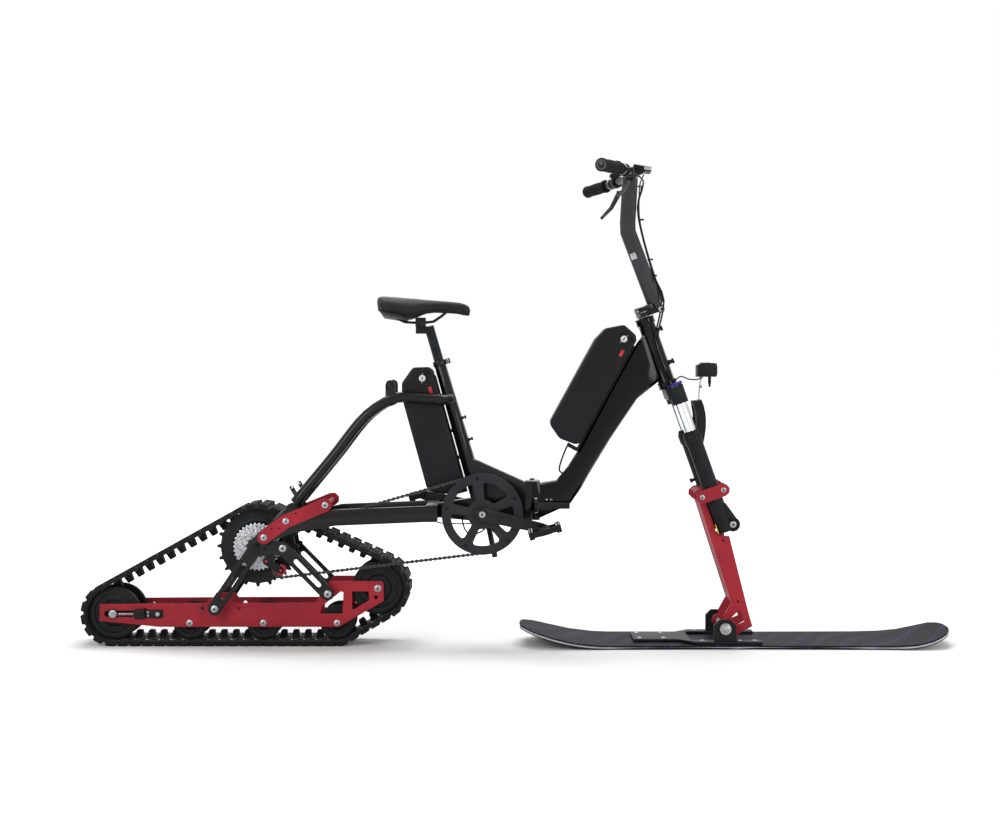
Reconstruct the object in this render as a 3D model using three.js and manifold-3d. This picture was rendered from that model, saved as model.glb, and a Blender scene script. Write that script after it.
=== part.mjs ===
// A ski bike: a folding e-bike frame on a rubber drive track, steered by a single ski.
// Millimetres. +X forward, +Y to the rider's left, +Z up; the origin is on the ground, midway along the length.

import * as THREE from 'three';
import { mergeVertices } from 'three/addons/utils/BufferGeometryUtils.js';
import Module from 'manifold-3d';

const wasm = await Module();
wasm.setup();

// Sizes

const fit = 0.3; // gap between pieces that seat on each other
const overrun = 6; // how far a cut runs past the faces that it opens
const facets = { wheel: 22, bogie: 12, tube: 10, bolt: 8, hole: 6, cable: 8 };

const hub = { x: -700, z: 268.5, axleRadius: 7, shellRadius: 78, flangeRadius: 40, flangeReach: 57 };
const belt = {
  pitch: 33, thickness: 6.5, halfWidth: 70,
  treadFoot: 27, treadTop: 23, treadHeight: 8,
  lugFoot: 20, guideTop: 14, guideHeight: 20, guideWidth: 26,
  windowInner: 38, windowWidth: 10, windowLength: 15.5,
};
const sprocket = {
  teeth: 20, inner: 40, thickness: 6, toothFoot: 11.5, toothTop: 6, toothRise: 2.2,
  holes: 10, holeRadius: 4.2, holeCircle: 88.5,
};
const idler = {
  rearX: -1089.5, frontX: -374, frontZ: 155, radius: 72,
  rimInner: 33, halfWidth: 48, core: 46, grooveIn: 53, grooveOut: 57, grooveDepth: 3, pin: 8,
};
const bogie = { radius: 47, frontX: -484, spacing: 199.5, count: 3, core: 24, pin: 6 };
const rail = {
  inner: 53, thickness: 6, rearReach: 36.5, frontReach: 16, bottomZ: 51, topZ: 175,
  slotFront: 20, slotHeight: 17, smallHole: 5.5,
};
const strut = {
  inner: 86, thickness: 5, width: 36, slot: 13, rearX: -810, rearZ: 104, frontX: -506, frontZ: 144,
  shoulderX: -627, shoulderZ: 267, spacerRadius: 11, boltRadius: 5,
};
const tensioner = { reach: 72, rodRadius: 3.5, blockLength: 24, blockHeight: 22, plateLength: 62, washer: 13, depth: 5 };
const dropout = { inner: 92, thickness: 6, eye: 20, nutRadius: 12, nutHeight: 8 };
const stay = {
  inner: 82, yokeFrontX: -212, yokeRearX: -242, kneeX: -486, toeX: -600, lugX: -602, lugZ: 374, lugWidth: 32, braceShare: 1.05, braceEndShare: 0.906,
  frontTopZ: 382, frontLowZ: 338, kneeTopZ: 371, kneeLowZ: 328, toeTopZ: 341, toeLowZ: 309,
};
const torqueArm = {
  thickness: 5, width: 37, lowX: 24, lowZ: 29, midX: 83, midZ: 72.5, highX: 188, highZ: 115.5,
  tieRadius: 7,
};
const seatTube = {
  lean: 16.2, radius: 15.8, footRadius: 22, length: 430, boreLength: 190, lugBelow: 110, lugReach: 46,
};
const arch = {
  radius: 14.5, side: 62, bendX: -318, bendZ: 672, kneeX: -396, kneeZ: 630, endSide: 85,
  tabX: -340, tabRise: 46, tabWidth: 26, tabThick: 5, tabHole: 4.5, earX: -604, earZ: 431, earWidth: 11,
};
const bottomBracket = { x: -91, z: 358, shellRadius: 22, shellHalf: 36, spindleRadius: 12, beamHalf: 23 };
const stand = { radius: 8, topX: -84, footX: -57, footZ: 233 };
const foldHinge = {
  x: 45.5, lowZ: 337, highZ: 443, plate: 19.2, half: 30, pinY: 41, pinRadius: 5, knuckle: 9.5, knuckleHeight: 34,
};
const latch = { length: 92, height: 18, thickness: 7, pivotX: 54, z: 378, boss: 8 };
const clampRing = { wall: 1.6, height: 14, reach: 30, earHalf: 7, boltRadius: 2.6 };
const seatpost = {
  radius: 13.3, above: 98, setBack: 22, headHalf: 13, headHeight: 20, stackDepth: 27, stackHeight: 24, insert: 150,
};
const saddle = {
  behind: 143.7, length: 260, above: 85, height: 62, halfWidth: 78, railRadius: 3.5, railHalf: 22,
};
const battery = { depth: 101, height: 354, half: 45, lockRadius: 11, lockOut: 3, rearLow: 76 };
const dock = { half: 20, thickness: 2.5, foot: 10, footHalf: 12, shelf: 28, riseShare: 0.9 };
const crank = { length: 170, angle: -12.3, planeY: 102, thickness: 12, hubRadius: 19, tipRadius: 13, hubInner: 86 };
const pedal = { length: 88, depth: 92, height: 20, tilt: -16, spindle: 6, start: 5, rail: 12, bar: 14 };
const chain = { planeY: 77, halfWidth: 3.6, halfHeight: 4.2, cogPitch: 22.5 };
const ring = { pitch: 105, thickness: 3, guard: 109.5, guardInner: 86, guardY: 82.6, guardThick: 3, spoke: 28, core: 34 };
const cassette = { inner: 60, largest: 65, step: 3.5, thickness: 2, body: 17 };
const pulleys = {
  thickness: 3, upperX: -672, upperZ: 232, upperPitch: 16, lowerX: -633, lowerZ: 207, lowerPitch: 20, pin: 4,
};
const cage = { thickness: 2.6, plane: 82.4, width: 20, capX: -640, capZ: 257, capRadius: 10 };
const headTube = { x: 415.6, z: 707.2, lean: 19.5, length: 183, radius: 23, bore: 15.6, cup: 26, cupHeight: 8 };
const downTube = { half: 24, chamfer: 9, depth: 67 };
const steerer = { radius: 14.3, below: 2 };
const fork = {
  legSide: 65, legAhead: 10, crownTop: -9, crownLow: -58, crownRadius: 23, bridgeRear: -16, bridgeFront: 26,
  stanchion: 16.5, stanchionEnd: -272, capRadius: 15, capHeight: 8,
  lowerTop: -143, lowerEnd: -425, lowerRadius: 22.5, lowerFoot: 20, boreEnd: -345, taperTop: -340,
  archAhead: 57, archAlong: -78, archFoot: -190, archDepth: 12, archWidth: 26,
  bossAhead: 33, bossAlong: -412, bossRadius: 15, bossHalf: 9,
};
const stemBase = {
  low: 197, height: 24, half: 24, rear: -18, front: 22, plate: 9, gap: 3, ring: 18, upperFall: 22,
  pinAhead: 51, pinRadius: 5, knuckle: 10, knuckleHalf: 12,
};
const post = {
  footAhead: 41, bendBack: 8, bendRiseShare: 0.5676, topBelow: 11, depth: 42, width: 36, chamfer: 10, ear: 9,
};
const bar = {
  radius: 11, x: 313, z: 1281, riseY: 60, sweepBack: 43, sweepFall: 7, sweepY: 200, endBack: 99, endFall: 13, endY: 330,
  gripRadius: 16, gripLength: 122, perchShare: 0.86, perchWideShare: 0.06, perchRadius: 16, clamp: 18,
};
const lever = {
  ahead: 20, below: 26, length: 118, drop: 60, sweep: 42, width: 13, thickness: 7, boss: 7, ear: 5, pin: 3,
};
const display = { ahead: 32, above: 15, depth: 50, width: 62, thick: 13, tilt: 10, ring: 6 };
const lamp = {
  x: 520, z: 746, length: 50, height: 38, half: 24, strip: 12, stripThick: 3, footX: 499, footZ: 665.8,
  pivotX: 508, knuckle: 5,
};
const skiStrut = {
  plateSide: 54, plateThick: 6, pivotX: 561, pivotZ: 52, pivotRadius: 8, eye: 18, eyeAhead: -100, footAlong: -700,
  spanAhead: 116, clampTop: -297, clampLow: -331, jawThick: 6,
  boltRear: -22, boltFront: 38.5, boltRadius: 4.3,
};
const ski = { rearX: 11, length: 1165, half: 128, thickness: 10, tailRise: 44, noseRise: 36 };
const skiPlate = {
  thickness: 8, tongueX: 318, neckX: 436, spreadX: 482, frontX: 660, tongueHalf: 60, half: 106, slotHalf: 70, slotX: 470,
  bracketRear: 531, bracketFront: 590, bracketTop: 76, bracketInner: 86, bracketThick: 12, bracketChamfer: 15,
  spacer: 13, washer: 15.5, washerThick: 5,
};
const cable = { radius: 2.4, standOff: 3, spread: 7, headSide: 33, headAhead: 14, loop: 40 };

// Building blocks

const turn = 2 * Math.PI;
const radians = THREE.MathUtils.degToRad;
const right = -1;
const left = 1;

// A closed three.js geometry becomes a solid; its faces are turned outward if they point in.
function toSolid(geometry) {
  geometry.deleteAttribute('normal');
  geometry.deleteAttribute('uv');
  const merged = mergeVertices(geometry);
  const p = merged.attributes.position.array;
  const source = merged.index.array;
  const kept = [];
  let volume = 0;
  for (let i = 0; i < source.length; i += 3) {
    const [a, b, c] = [source[i], source[i + 1], source[i + 2]];
    if (a === b || b === c || c === a) continue;
    kept.push(a, b, c);
    const [u, v, w] = [a, b, c].map((k) => new THREE.Vector3(p[3 * k], p[3 * k + 1], p[3 * k + 2]));
    volume += u.dot(v.cross(w));
  }
  if (volume < 0) kept.reverse();
  const mesh = new wasm.Mesh({ numProp: 3, vertProperties: new Float32Array(p), triVerts: new Uint32Array(kept) });
  return new wasm.Manifold(mesh);
}

const join = (...solids) => solids.reduce((all, next) => all.add(next));
const cut = (body, ...tools) => tools.reduce((all, next) => all.subtract(next), body);
const sum = (list) => list.reduce((all, next) => all.add(next));
// The radius of a many-sided bore whose flats clear a round piece.
const around = (radius, sides = facets.tube) => (radius + fit) / Math.cos(Math.PI / sides);
const range = (count, make) => Array.from({ length: count }, (_, i) => make(i));

// An outline in side view, extruded across the bike from one Y to the other, with holes through it.
function slab(outline, fromY, toY, holes = []) {
  const vector = ([x, z]) => new THREE.Vector2(x, z);
  const shape = new THREE.Shape(outline.map(vector));
  for (const hole of holes) shape.holes.push(new THREE.Path(hole.map(vector)));
  const geometry = new THREE.ExtrudeGeometry(shape, { depth: Math.abs(toY - fromY), bevelEnabled: false });
  geometry.rotateX(Math.PI / 2);
  geometry.translate(0, Math.max(fromY, toY), 0);
  return toSolid(geometry);
}

// The same, held between two distances from the middle plane on one side.
const sideSlab = (side, outline, inner, outer, holes) => slab(outline, side * inner, side * outer, holes);

// An outline in plan view, extruded upward.
function flat(outline, lowZ, highZ, holes = []) {
  const vector = ([x, y]) => new THREE.Vector2(x, y);
  const shape = new THREE.Shape(outline.map(vector));
  for (const hole of holes) shape.holes.push(new THREE.Path(hole.map(vector)));
  const geometry = new THREE.ExtrudeGeometry(shape, { depth: highZ - lowZ, bevelEnabled: false });
  geometry.translate(0, 0, lowZ);
  return toSolid(geometry);
}

function block(x0, x1, y0, y1, z0, z1) {
  const geometry = new THREE.BoxGeometry(Math.abs(x1 - x0), Math.abs(y1 - y0), Math.abs(z1 - z0));
  geometry.translate((x0 + x1) / 2, (y0 + y1) / 2, (z0 + z1) / 2);
  return toSolid(geometry);
}

// A straight round bar between two points, tapered if it has two radii.
function rod(from, to, radius, sides = facets.tube, endRadius = radius) {
  const [a, b] = [new THREE.Vector3(...from), new THREE.Vector3(...to)];
  const along = b.clone().sub(a);
  const geometry = new THREE.CylinderGeometry(endRadius, radius, along.length(), sides);
  geometry.translate(0, along.length() / 2, 0);
  geometry.applyQuaternion(new THREE.Quaternion().setFromUnitVectors(new THREE.Vector3(0, 1, 0), along.normalize()));
  geometry.translate(a.x, a.y, a.z);
  return toSolid(geometry);
}

// A round bar across the bike.
const pin = (x, z, radius, fromY, toY, sides = facets.bolt) => rod([x, fromY, z], [x, toY, z], radius, sides);

// A profile of [radius, Y] points turned about a line across the bike.
function turned(x, z, profile, segments) {
  const points = profile.concat([profile[0]]).map(([r, y]) => new THREE.Vector2(r, y));
  const geometry = new THREE.LatheGeometry(points, segments);
  geometry.translate(x, 0, z);
  return toSolid(geometry);
}

const circle = (x, z, radius, count, phase = 0) =>
  range(count, (i) => [x + radius * Math.cos((i / count) * turn + phase), z + radius * Math.sin((i / count) * turn + phase)]);

// A straight bar with round ends in side view.
function link([x0, z0], [x1, z1], width, count = facets.bolt) {
  const angle = Math.atan2(z1 - z0, x1 - x0);
  const end = (x, z, base) => range(count / 2 + 1, (i) => {
    const a = base + (i / (count / 2)) * Math.PI;
    return [x + (width / 2) * Math.cos(a), z + (width / 2) * Math.sin(a)];
  });
  return [...end(x1, z1, angle - Math.PI / 2), ...end(x0, z0, angle + Math.PI / 2)];
}

// A bar of any section swept along a smooth path.
function swept(points, section, steps) {
  const path = new THREE.CatmullRomCurve3(points.map((p) => new THREE.Vector3(...p)), false, 'centripetal');
  const shape = new THREE.Shape(section.map(([u, v]) => new THREE.Vector2(u, v)));
  return toSolid(new THREE.ExtrudeGeometry(shape, { steps, extrudePath: path, bevelEnabled: false }));
}
const roundTube = (points, radius, steps, sides = facets.tube) => swept(points, circle(0, 0, radius, sides), steps);

// A skin through rings of equally many points, closed at both ends.
function loft(rings) {
  const size = rings[0].length;
  const index = [];
  for (let r = 0; r + 1 < rings.length; r += 1) {
    for (let i = 0; i < size; i += 1) {
      const [a, b] = [r * size + i, r * size + ((i + 1) % size)];
      index.push(a, b, b + size, a, b + size, a + size);
    }
  }
  const last = (rings.length - 1) * size;
  for (let i = 1; i + 1 < size; i += 1) {
    index.push(0, i + 1, i);
    index.push(last, last + i, last + i + 1);
  }
  const geometry = new THREE.BufferGeometry();
  geometry.setAttribute('position', new THREE.Float32BufferAttribute(rings.flat(2), 3));
  geometry.setIndex(index);
  return toSolid(geometry);
}

// A round tube of straight runs with mitred corners.
function mitred(points, radius, sides) {
  const nodes = points.map((p) => new THREE.Vector3(...p));
  const runs = nodes.slice(1).map((p, i) => p.clone().sub(nodes[i]).normalize());
  const tilt = new THREE.Quaternion().setFromUnitVectors(new THREE.Vector3(0, 0, 1), runs[0]);
  let ring = circle(0, 0, radius, sides).map(([u, v]) => new THREE.Vector3(u, v, 0).applyQuaternion(tilt).add(nodes[0]));
  const rings = [ring];
  runs.forEach((run, i) => {
    const facing = run.clone().add(runs[i + 1] ?? run).normalize();
    ring = ring.map((q) => q.clone().addScaledVector(run, nodes[i + 1].clone().sub(q).dot(facing) / run.dot(facing)));
    rings.push(ring);
  });
  return loft(rings.map((points) => points.map((q) => q.toArray())));
}

// An eight-sided section between an upper and a lower point in side view, with its corners cut.
function octagon([ux, uz], [lx, lz], half, chamfer) {
  const depth = Math.hypot(ux - lx, uz - lz);
  const t = chamfer / depth;
  const mix = (s) => [lx + (ux - lx) * s, lz + (uz - lz) * s];
  const [[ax, az], [bx, bz]] = [mix(t), mix(1 - t)];
  return [
    [lx, half - chamfer, lz], [ax, half, az], [bx, half, bz], [ux, half - chamfer, uz],
    [ux, chamfer - half, uz], [bx, -half, bz], [ax, -half, az], [lx, chamfer - half, lz],
  ];
}

// Outline shares laid over a box from its lower rear corner.
const spread = (shares, x, z, length, height) => shares.map(([u, v]) => [x + u * length, z + v * height]);

// A closed loop round circles, met in order; a negative radius is passed on its other side.
function loopPath(circles) {
  const count = circles.length;
  const normal = circles.map((c, i) => {
    const d = circles[(i + 1) % count];
    const gap = Math.hypot(d.x - c.x, d.z - c.z);
    return Math.atan2(d.z - c.z, d.x - c.x) - Math.acos((c.r - d.r) / gap);
  });
  const parts = [];
  let total = 0;
  circles.forEach((c, i) => {
    const flip = c.r < 0 ? Math.PI : 0;
    const from = normal[(i + count - 1) % count];
    let sweep = (normal[i] - from) % turn;
    if (c.r > 0 && sweep < 0) sweep += turn;
    if (c.r < 0 && sweep > 0) sweep -= turn;
    const next = circles[(i + 1) % count];
    const a = [c.x + c.r * Math.cos(normal[i]), c.z + c.r * Math.sin(normal[i])];
    const b = [next.x + next.r * Math.cos(normal[i]), next.z + next.r * Math.sin(normal[i])];
    const arc = Math.abs(c.r * sweep);
    const line = Math.hypot(b[0] - a[0], b[1] - a[1]);
    parts.push({ c, from, sweep, flip, start: total, length: arc });
    parts.push({ a, b, n: normal[i], start: total + arc, length: line });
    total += arc + line;
  });
  const at = (distance, offset = 0) => {
    const s = ((distance % total) + total) % total;
    const part = parts.find((q) => s <= q.start + q.length) ?? parts[parts.length - 1];
    const t = (s - part.start) / part.length;
    if (part.c) {
      const a = part.from + part.sweep * t;
      return [part.c.x + (part.c.r + offset) * Math.cos(a), part.c.z + (part.c.r + offset) * Math.sin(a)];
    }
    const [x, z] = [part.a[0] + (part.b[0] - part.a[0]) * t, part.a[1] + (part.b[1] - part.a[1]) * t];
    return [x + offset * Math.cos(part.n), z + offset * Math.sin(part.n)];
  };
  const angle = (distance) => {
    const [a, b] = [at(distance, 0), at(distance, 1)];
    return Math.atan2(b[1] - a[1], b[0] - a[0]);
  };
  return { total, at, angle, parts };
}

// Named meshes, each with its own finish, in the bike's frame or in a leaning frame of a part of it.
const bike = new THREE.Group();
const leaning = (x, z, lean) => {
  const group = new THREE.Group();
  group.position.set(x, 0, z);
  group.rotation.y = radians(lean);
  bike.add(group);
  return group;
};
const onSeatTube = leaning(bottomBracket.x, bottomBracket.z, -seatTube.lean);
const onSteering = leaning(headTube.x, headTube.z, -headTube.lean);

const finish = {
  frame: [0x26272a, 0.38, 0.35], plastic: [0x1d1e20, 0.62, 0], rubber: [0x17181a, 0.85, 0],
  red: [0xa83038, 0.4, 0.5], steel: [0xb9bcc0, 0.3, 0.95], bright: [0xd8dadd, 0.14, 1],
  castIron: [0x2e3033, 0.5, 0.6], shell: [0x141416, 0.3, 0], cover: [0x202124, 0.75, 0],
  board: [0x33323c, 0.35, 0.1], clear: [0x9aa3ad, 0.15, 0],
};
function add(name, solid, [color, roughness, metalness], group = bike) {
  const mesh = solid.getMesh();
  const geometry = new THREE.BufferGeometry();
  geometry.setAttribute('position', new THREE.BufferAttribute(mesh.vertProperties, mesh.numProp));
  geometry.setIndex(new THREE.BufferAttribute(mesh.triVerts, 1));
  geometry.computeVertexNormals();
  const part = new THREE.Mesh(geometry, new THREE.MeshStandardMaterial({ color, roughness, metalness }));
  part.name = name;
  group.add(part);
  return part;
}

// A point given along and ahead of a leaning line, in the bike's frame.
const leaned = (x, z, lean) => (ahead, along, y = 0) => {
  const a = radians(lean);
  return [x + ahead * Math.cos(a) - along * Math.sin(a), y, z + ahead * Math.sin(a) + along * Math.cos(a)];
};
const seatPoint = leaned(bottomBracket.x, bottomBracket.z, seatTube.lean);
const steerPoint = leaned(headTube.x, headTube.z, headTube.lean);

// Rubber track: a windowed band with tread bars outside and a row of guide lugs inside

const wheelLow = belt.treadHeight + belt.thickness;
const halfBelt = belt.thickness / 2;
const idlerZ = wheelLow + idler.radius;
const bogieZ = wheelLow + bogie.radius;
const sprocketPitch = (sprocket.teeth * belt.pitch) / turn;
const beltSeat = sprocketPitch - halfBelt;
const beltLoop = loopPath([
  { x: hub.x, z: hub.z, r: sprocketPitch },
  { x: idler.rearX, z: idlerZ, r: idler.radius + halfBelt },
  { x: bogie.frontX, z: bogieZ, r: bogie.radius + halfBelt },
  { x: idler.frontX, z: idler.frontZ, r: idler.radius + halfBelt },
]);
const cells = Math.round(beltLoop.total / belt.pitch);
const cell = beltLoop.total / cells;
const sprocketTop = (Math.PI / 2 - beltLoop.parts[0].from) * sprocketPitch;

const beltPoints = (make) => range(cells, (i) => make(sprocketTop + (i + 0.5) * cell)).flat();
const treadSide = beltPoints((mid) => [
  beltLoop.at(mid - belt.treadFoot / 2, halfBelt), beltLoop.at(mid - belt.treadTop / 2, halfBelt + belt.treadHeight),
  beltLoop.at(mid + belt.treadTop / 2, halfBelt + belt.treadHeight), beltLoop.at(mid + belt.treadFoot / 2, halfBelt),
]);
const wheelSide = beltPoints((mid) => [beltLoop.at(mid, -halfBelt), beltLoop.at(mid + cell / 2, -halfBelt)]);
const guideLug = (mid) => slab([
  beltLoop.at(mid - belt.lugFoot / 2, 0), beltLoop.at(mid + belt.lugFoot / 2, 0),
  beltLoop.at(mid + belt.guideTop / 2, -halfBelt - belt.guideHeight),
  beltLoop.at(mid - belt.guideTop / 2, -halfBelt - belt.guideHeight),
], -belt.guideWidth / 2, belt.guideWidth / 2);
const beltWindow = (s, y0, y1) => {
  const [mid, a] = [beltLoop.at(s), beltLoop.angle(s)];
  const [nx, nz] = [Math.cos(a), Math.sin(a)];
  const corner = (n, t) => [mid[0] + n * nx - t * nz, mid[1] + n * nz + t * nx];
  const [n, t] = [halfBelt + overrun, belt.windowLength / 2];
  return slab([corner(-n, -t), corner(n, -t), corner(n, t), corner(-n, t)], y0, y1);
};
const guideRow = sum(range(cells, (i) => guideLug(sprocketTop + (i + 0.5) * cell)));
const windowRow = (side) => sum(range(cells, (i) => beltWindow(
  sprocketTop + i * cell, side * belt.windowInner, side * (belt.windowInner + belt.windowWidth))));
add('track_belt', cut(
  join(slab(treadSide, -belt.halfWidth, belt.halfWidth, [wheelSide]), guideRow),
  windowRow(right), windowRow(left),
), finish.rubber);

// Drive hub with a toothed disc under each row of windows

const toothTip = sprocketPitch + halfBelt + sprocket.toothRise;
const underBelt = (radius) => radius * Math.cos(cell / 4 / radius) - fit;
const sprocketRim = underBelt(beltSeat);
const toothed = range(sprocket.teeth, (i) => {
  const middle = Math.PI / 2 + (i / sprocket.teeth) * turn;
  const at = (radius, half) => {
    const a = middle + half / radius;
    return [hub.x + radius * Math.cos(a), hub.z + radius * Math.sin(a)];
  };
  return [
    at(sprocketRim, -sprocket.toothFoot / 2), at(toothTip, -sprocket.toothTop / 2),
    at(toothTip, sprocket.toothTop / 2), at(sprocketRim, sprocket.toothFoot / 2),
  ];
}).flat();
const sprocketHoles = circle(hub.x, hub.z, sprocket.holeCircle, sprocket.holes)
  .map(([x, z]) => circle(x, z, sprocket.holeRadius, facets.hole))
  .concat([circle(hub.x, hub.z, hub.shellRadius - overrun, facets.wheel)]);
const sprocketDisc = (side) =>
  sideSlab(side, toothed, sprocket.inner, sprocket.inner + sprocket.thickness, sprocketHoles);
const discOuter = sprocket.inner + sprocket.thickness;
const hubBore = hub.axleRadius + fit;
add('drive_hub', join(
  turned(hub.x, hub.z, [
    [hubBore, -hub.flangeReach], [hub.flangeRadius, -hub.flangeReach], [hub.flangeRadius, -discOuter],
    [hub.shellRadius, -discOuter], [hub.shellRadius, discOuter], [hub.flangeRadius, discOuter],
    [hub.flangeRadius, hub.flangeReach], [hubBore, hub.flangeReach],
  ], facets.wheel),
  sprocketDisc(right), sprocketDisc(left),
), finish.castIron);

// Idlers and bogie wheels: two rims with a channel for the guide lugs

function idlerWheel(name, x, z) {
  const bore = idler.pin + fit;
  const rim = underBelt(idler.radius);
  const h = idler.halfWidth;
  add(name, turned(x, z, [
    [bore, -h], [idler.grooveIn, -h], [idler.grooveIn, idler.grooveDepth - h], [idler.grooveOut, idler.grooveDepth - h],
    [idler.grooveOut, -h], [rim, -h], [rim, -idler.rimInner], [idler.core, -idler.rimInner],
    [idler.core, idler.rimInner], [rim, idler.rimInner], [rim, h], [bore, h],
  ], facets.wheel), finish.rubber);
}
idlerWheel('rear_idler', idler.rearX, idlerZ);
idlerWheel('front_idler', idler.frontX, idler.frontZ);
const bogieX = range(bogie.count, (i) => bogie.frontX - (bogie.count - 1 - i) * bogie.spacing);
bogieX.forEach((x, i) => {
  const bore = bogie.pin + fit;
  const rim = underBelt(bogie.radius);
  add(`bogie_${i + 1}`, turned(x, bogieZ, [
    [bore, -idler.halfWidth], [rim, -idler.halfWidth], [rim, -idler.rimInner], [bogie.core, -idler.rimInner],
    [bogie.core, idler.rimInner], [rim, idler.rimInner], [rim, idler.halfWidth], [bore, idler.halfWidth],
  ], facets.bogie), finish.rubber);
});

// Red side plates; the right one carries the front and bogie pins

const railOuter = rail.inner + rail.thickness;
const railShares = [
  [0, 0.129], [0.208, 0], [0.842, 0], [1, 0.565], [1, 0.95], [0.992, 1], [0.815, 1], [0.806, 0.984], [0.758, 0.524],
  [0.466, 0.52], [0.453, 0.62], [0.385, 0.62], [0.375, 0.516], [0, 0.5],
];
const railWindowShares = [
  [[0.776, 0.29], [0.855, 0.29], [0.858, 0.75], [0.85, 0.774], [0.781, 0.444]],
  [[0.888, 0.387], [0.895, 0.379], [0.949, 0.581], [0.947, 0.774], [0.889, 0.774]],
];
const railHoleShares = [[0.973, 0.645], [0.36, 0.4], [0.49, 0.4], [0.16, 0.37]];
const railRear = idler.rearX - rail.rearReach;
const railLength = idler.frontX + rail.frontReach - railRear;
const railHeight = rail.topZ - rail.bottomZ;
const onRail = (shares) => spread(shares, railRear, rail.bottomZ, railLength, railHeight);
const slotEnd = idler.rearX + tensioner.reach - rail.slotFront;
const tensionSlot = link([railRear + rail.slotFront, idlerZ], [slotEnd, idlerZ], rail.slotHeight);
const bogiePins = bogieX.map((x) => [x, bogieZ, bogie.pin]);
const railPins = [[idler.frontX, idler.frontZ, idler.pin], ...bogiePins];
const strutFeet = [[strut.rearX, strut.rearZ], [strut.frontX, strut.frontZ]];
const footHoles = strutFeet.map(([x, z]) => circle(x, z, around(strut.boltRadius, facets.cable), facets.cable));
function sidePlate(side, name) {
  const holes = [
    ...railWindowShares.map(onRail), tensionSlot, ...footHoles,
    ...onRail(railHoleShares).map(([x, z]) => circle(x, z, rail.smallHole, facets.cable)),
  ];
  if (side === left) holes.push(...railPins.map(([x, z, r]) => circle(x, z, around(r, facets.bolt), facets.bolt)));
  let plate = sideSlab(side, onRail(railShares), rail.inner, railOuter, holes);
  if (side === right) {
    for (const [x, z, r] of railPins) {
      plate = join(plate, pin(x, z, r, -rail.inner, railOuter));
    }
  }
  add(name, plate, finish.red);
}
sidePlate(right, 'side_plate_right');
sidePlate(left, 'side_plate_left');

// Rear pin with a tensioner at each end: washer, rod, block and back plate on the outer faces

const tensionerEnd = (side) => {
  const [inner, outer] = [railOuter + fit, railOuter + fit + tensioner.depth];
  const blockX = idler.rearX + tensioner.reach;
  const half = tensioner.blockHeight / 2;
  return join(
    sideSlab(side, circle(idler.rearX, idlerZ, tensioner.washer, facets.tube), inner, outer),
    rod([idler.rearX, side * (inner + tensioner.rodRadius), idlerZ],
      [blockX, side * (inner + tensioner.rodRadius), idlerZ], tensioner.rodRadius, facets.cable),
    block(blockX - tensioner.blockLength / 2, blockX + tensioner.blockLength / 2,
      side * inner, side * (outer + tensioner.rodRadius), idlerZ - half, idlerZ + half),
    block(blockX, blockX + tensioner.plateLength, side * inner, side * (inner + tensioner.rodRadius),
      idlerZ - half, idlerZ + half),
    sideSlab(side, circle(blockX + tensioner.plateLength - half, idlerZ, half / 2, 6), inner, outer + fit),
  );
};
add('rear_tensioner', join(
  pin(idler.rearX, idlerZ, idler.pin, -railOuter - tensioner.depth, railOuter + tensioner.depth, facets.tube),
  tensionerEnd(right), tensionerEnd(left),
), finish.steel);

// Slotted V plates that hang the carriage from the axle

const strutOuter = strut.inner + strut.thickness;
function strutPlate(side, name) {
  const [eye, shoulder] = [[hub.x, hub.z], [strut.shoulderX, strut.shoulderZ]];
  const [rearFoot, frontFoot] = strutFeet;
  const between = ([ax, az], [bx, bz], t) => [ax + (bx - ax) * t, az + (bz - az) * t];
  const bars = [[rearFoot, eye], [eye, shoulder], [shoulder, frontFoot]]
    .map(([a, b]) => sideSlab(side, link(a, b, strut.width), strut.inner, strutOuter));
  const slotShares = [0.2, 0.72];
  const slots = [[rearFoot, eye], [frontFoot, shoulder]].map(([a, b]) => sideSlab(
    side, link(between(a, b, slotShares[0]), between(a, b, slotShares[1]), strut.slot),
    strut.inner - overrun, strutOuter + overrun));
  const feet = strutFeet.map(([x, z]) => join(
    pin(x, z, strut.spacerRadius, side * (railOuter + fit), side * strutOuter),
    pin(x, z, strut.boltRadius, side * rail.inner, side * strutOuter, facets.cable),
  ));
  add(name, cut(join(...bars, ...feet), ...slots,
    pin(hub.x, hub.z, around(hub.axleRadius), side * (strut.inner - overrun), side * (strutOuter + overrun), facets.tube),
  ), finish.frame);
}
strutPlate(right, 'strut_right');
strutPlate(left, 'strut_left');

// Fixed hub axle with its nuts

const dropoutOuter = dropout.inner + dropout.thickness;
const nutY = dropoutOuter + fit;
add('axle', join(
  pin(hub.x, hub.z, hub.axleRadius, -nutY - dropout.nutHeight, nutY + dropout.nutHeight, facets.tube),
  ...[right, left].map((side) => pin(
    hub.x, hub.z, dropout.nutRadius, side * nutY, side * (nutY + dropout.nutHeight), 6)),
), finish.steel);

// Rear frame: seat tube, bottom bracket shell, short beam with the rear hinge plate, stand peg and cross lug

const beamShares = [
  [0, 0.064], [0.471, 0], [0.891, 0.023], [1, 0.023], [1, 0.605], [0.45, 0.94], [0.352, 0.976], [0.394, 0.359], [0, 0.28],
];
const beamLow = foldHinge.lowZ - bottomBracket.shellRadius / 5;
const hingeRear = foldHinge.x - fit - foldHinge.plate;
const beamRear = stay.yokeFrontX + fit;
const beam = slab(
  spread(beamShares, beamRear, beamLow, hingeRear - beamRear, (foldHinge.highZ - beamLow) * 1.6),
  -bottomBracket.beamHalf, bottomBracket.beamHalf,
);
const seatTop = seatPoint(0, seatTube.length);
const tubeRadiusAt = (along) =>
  seatTube.footRadius + ((seatTube.radius - seatTube.footRadius) * along) / seatTube.length;
const knuckleMid = (foldHinge.lowZ + foldHinge.highZ) / 2;
const knuckleLow = knuckleMid - foldHinge.knuckleHeight / 2;
const knuckleHigh = knuckleMid + foldHinge.knuckleHeight / 2;
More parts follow.
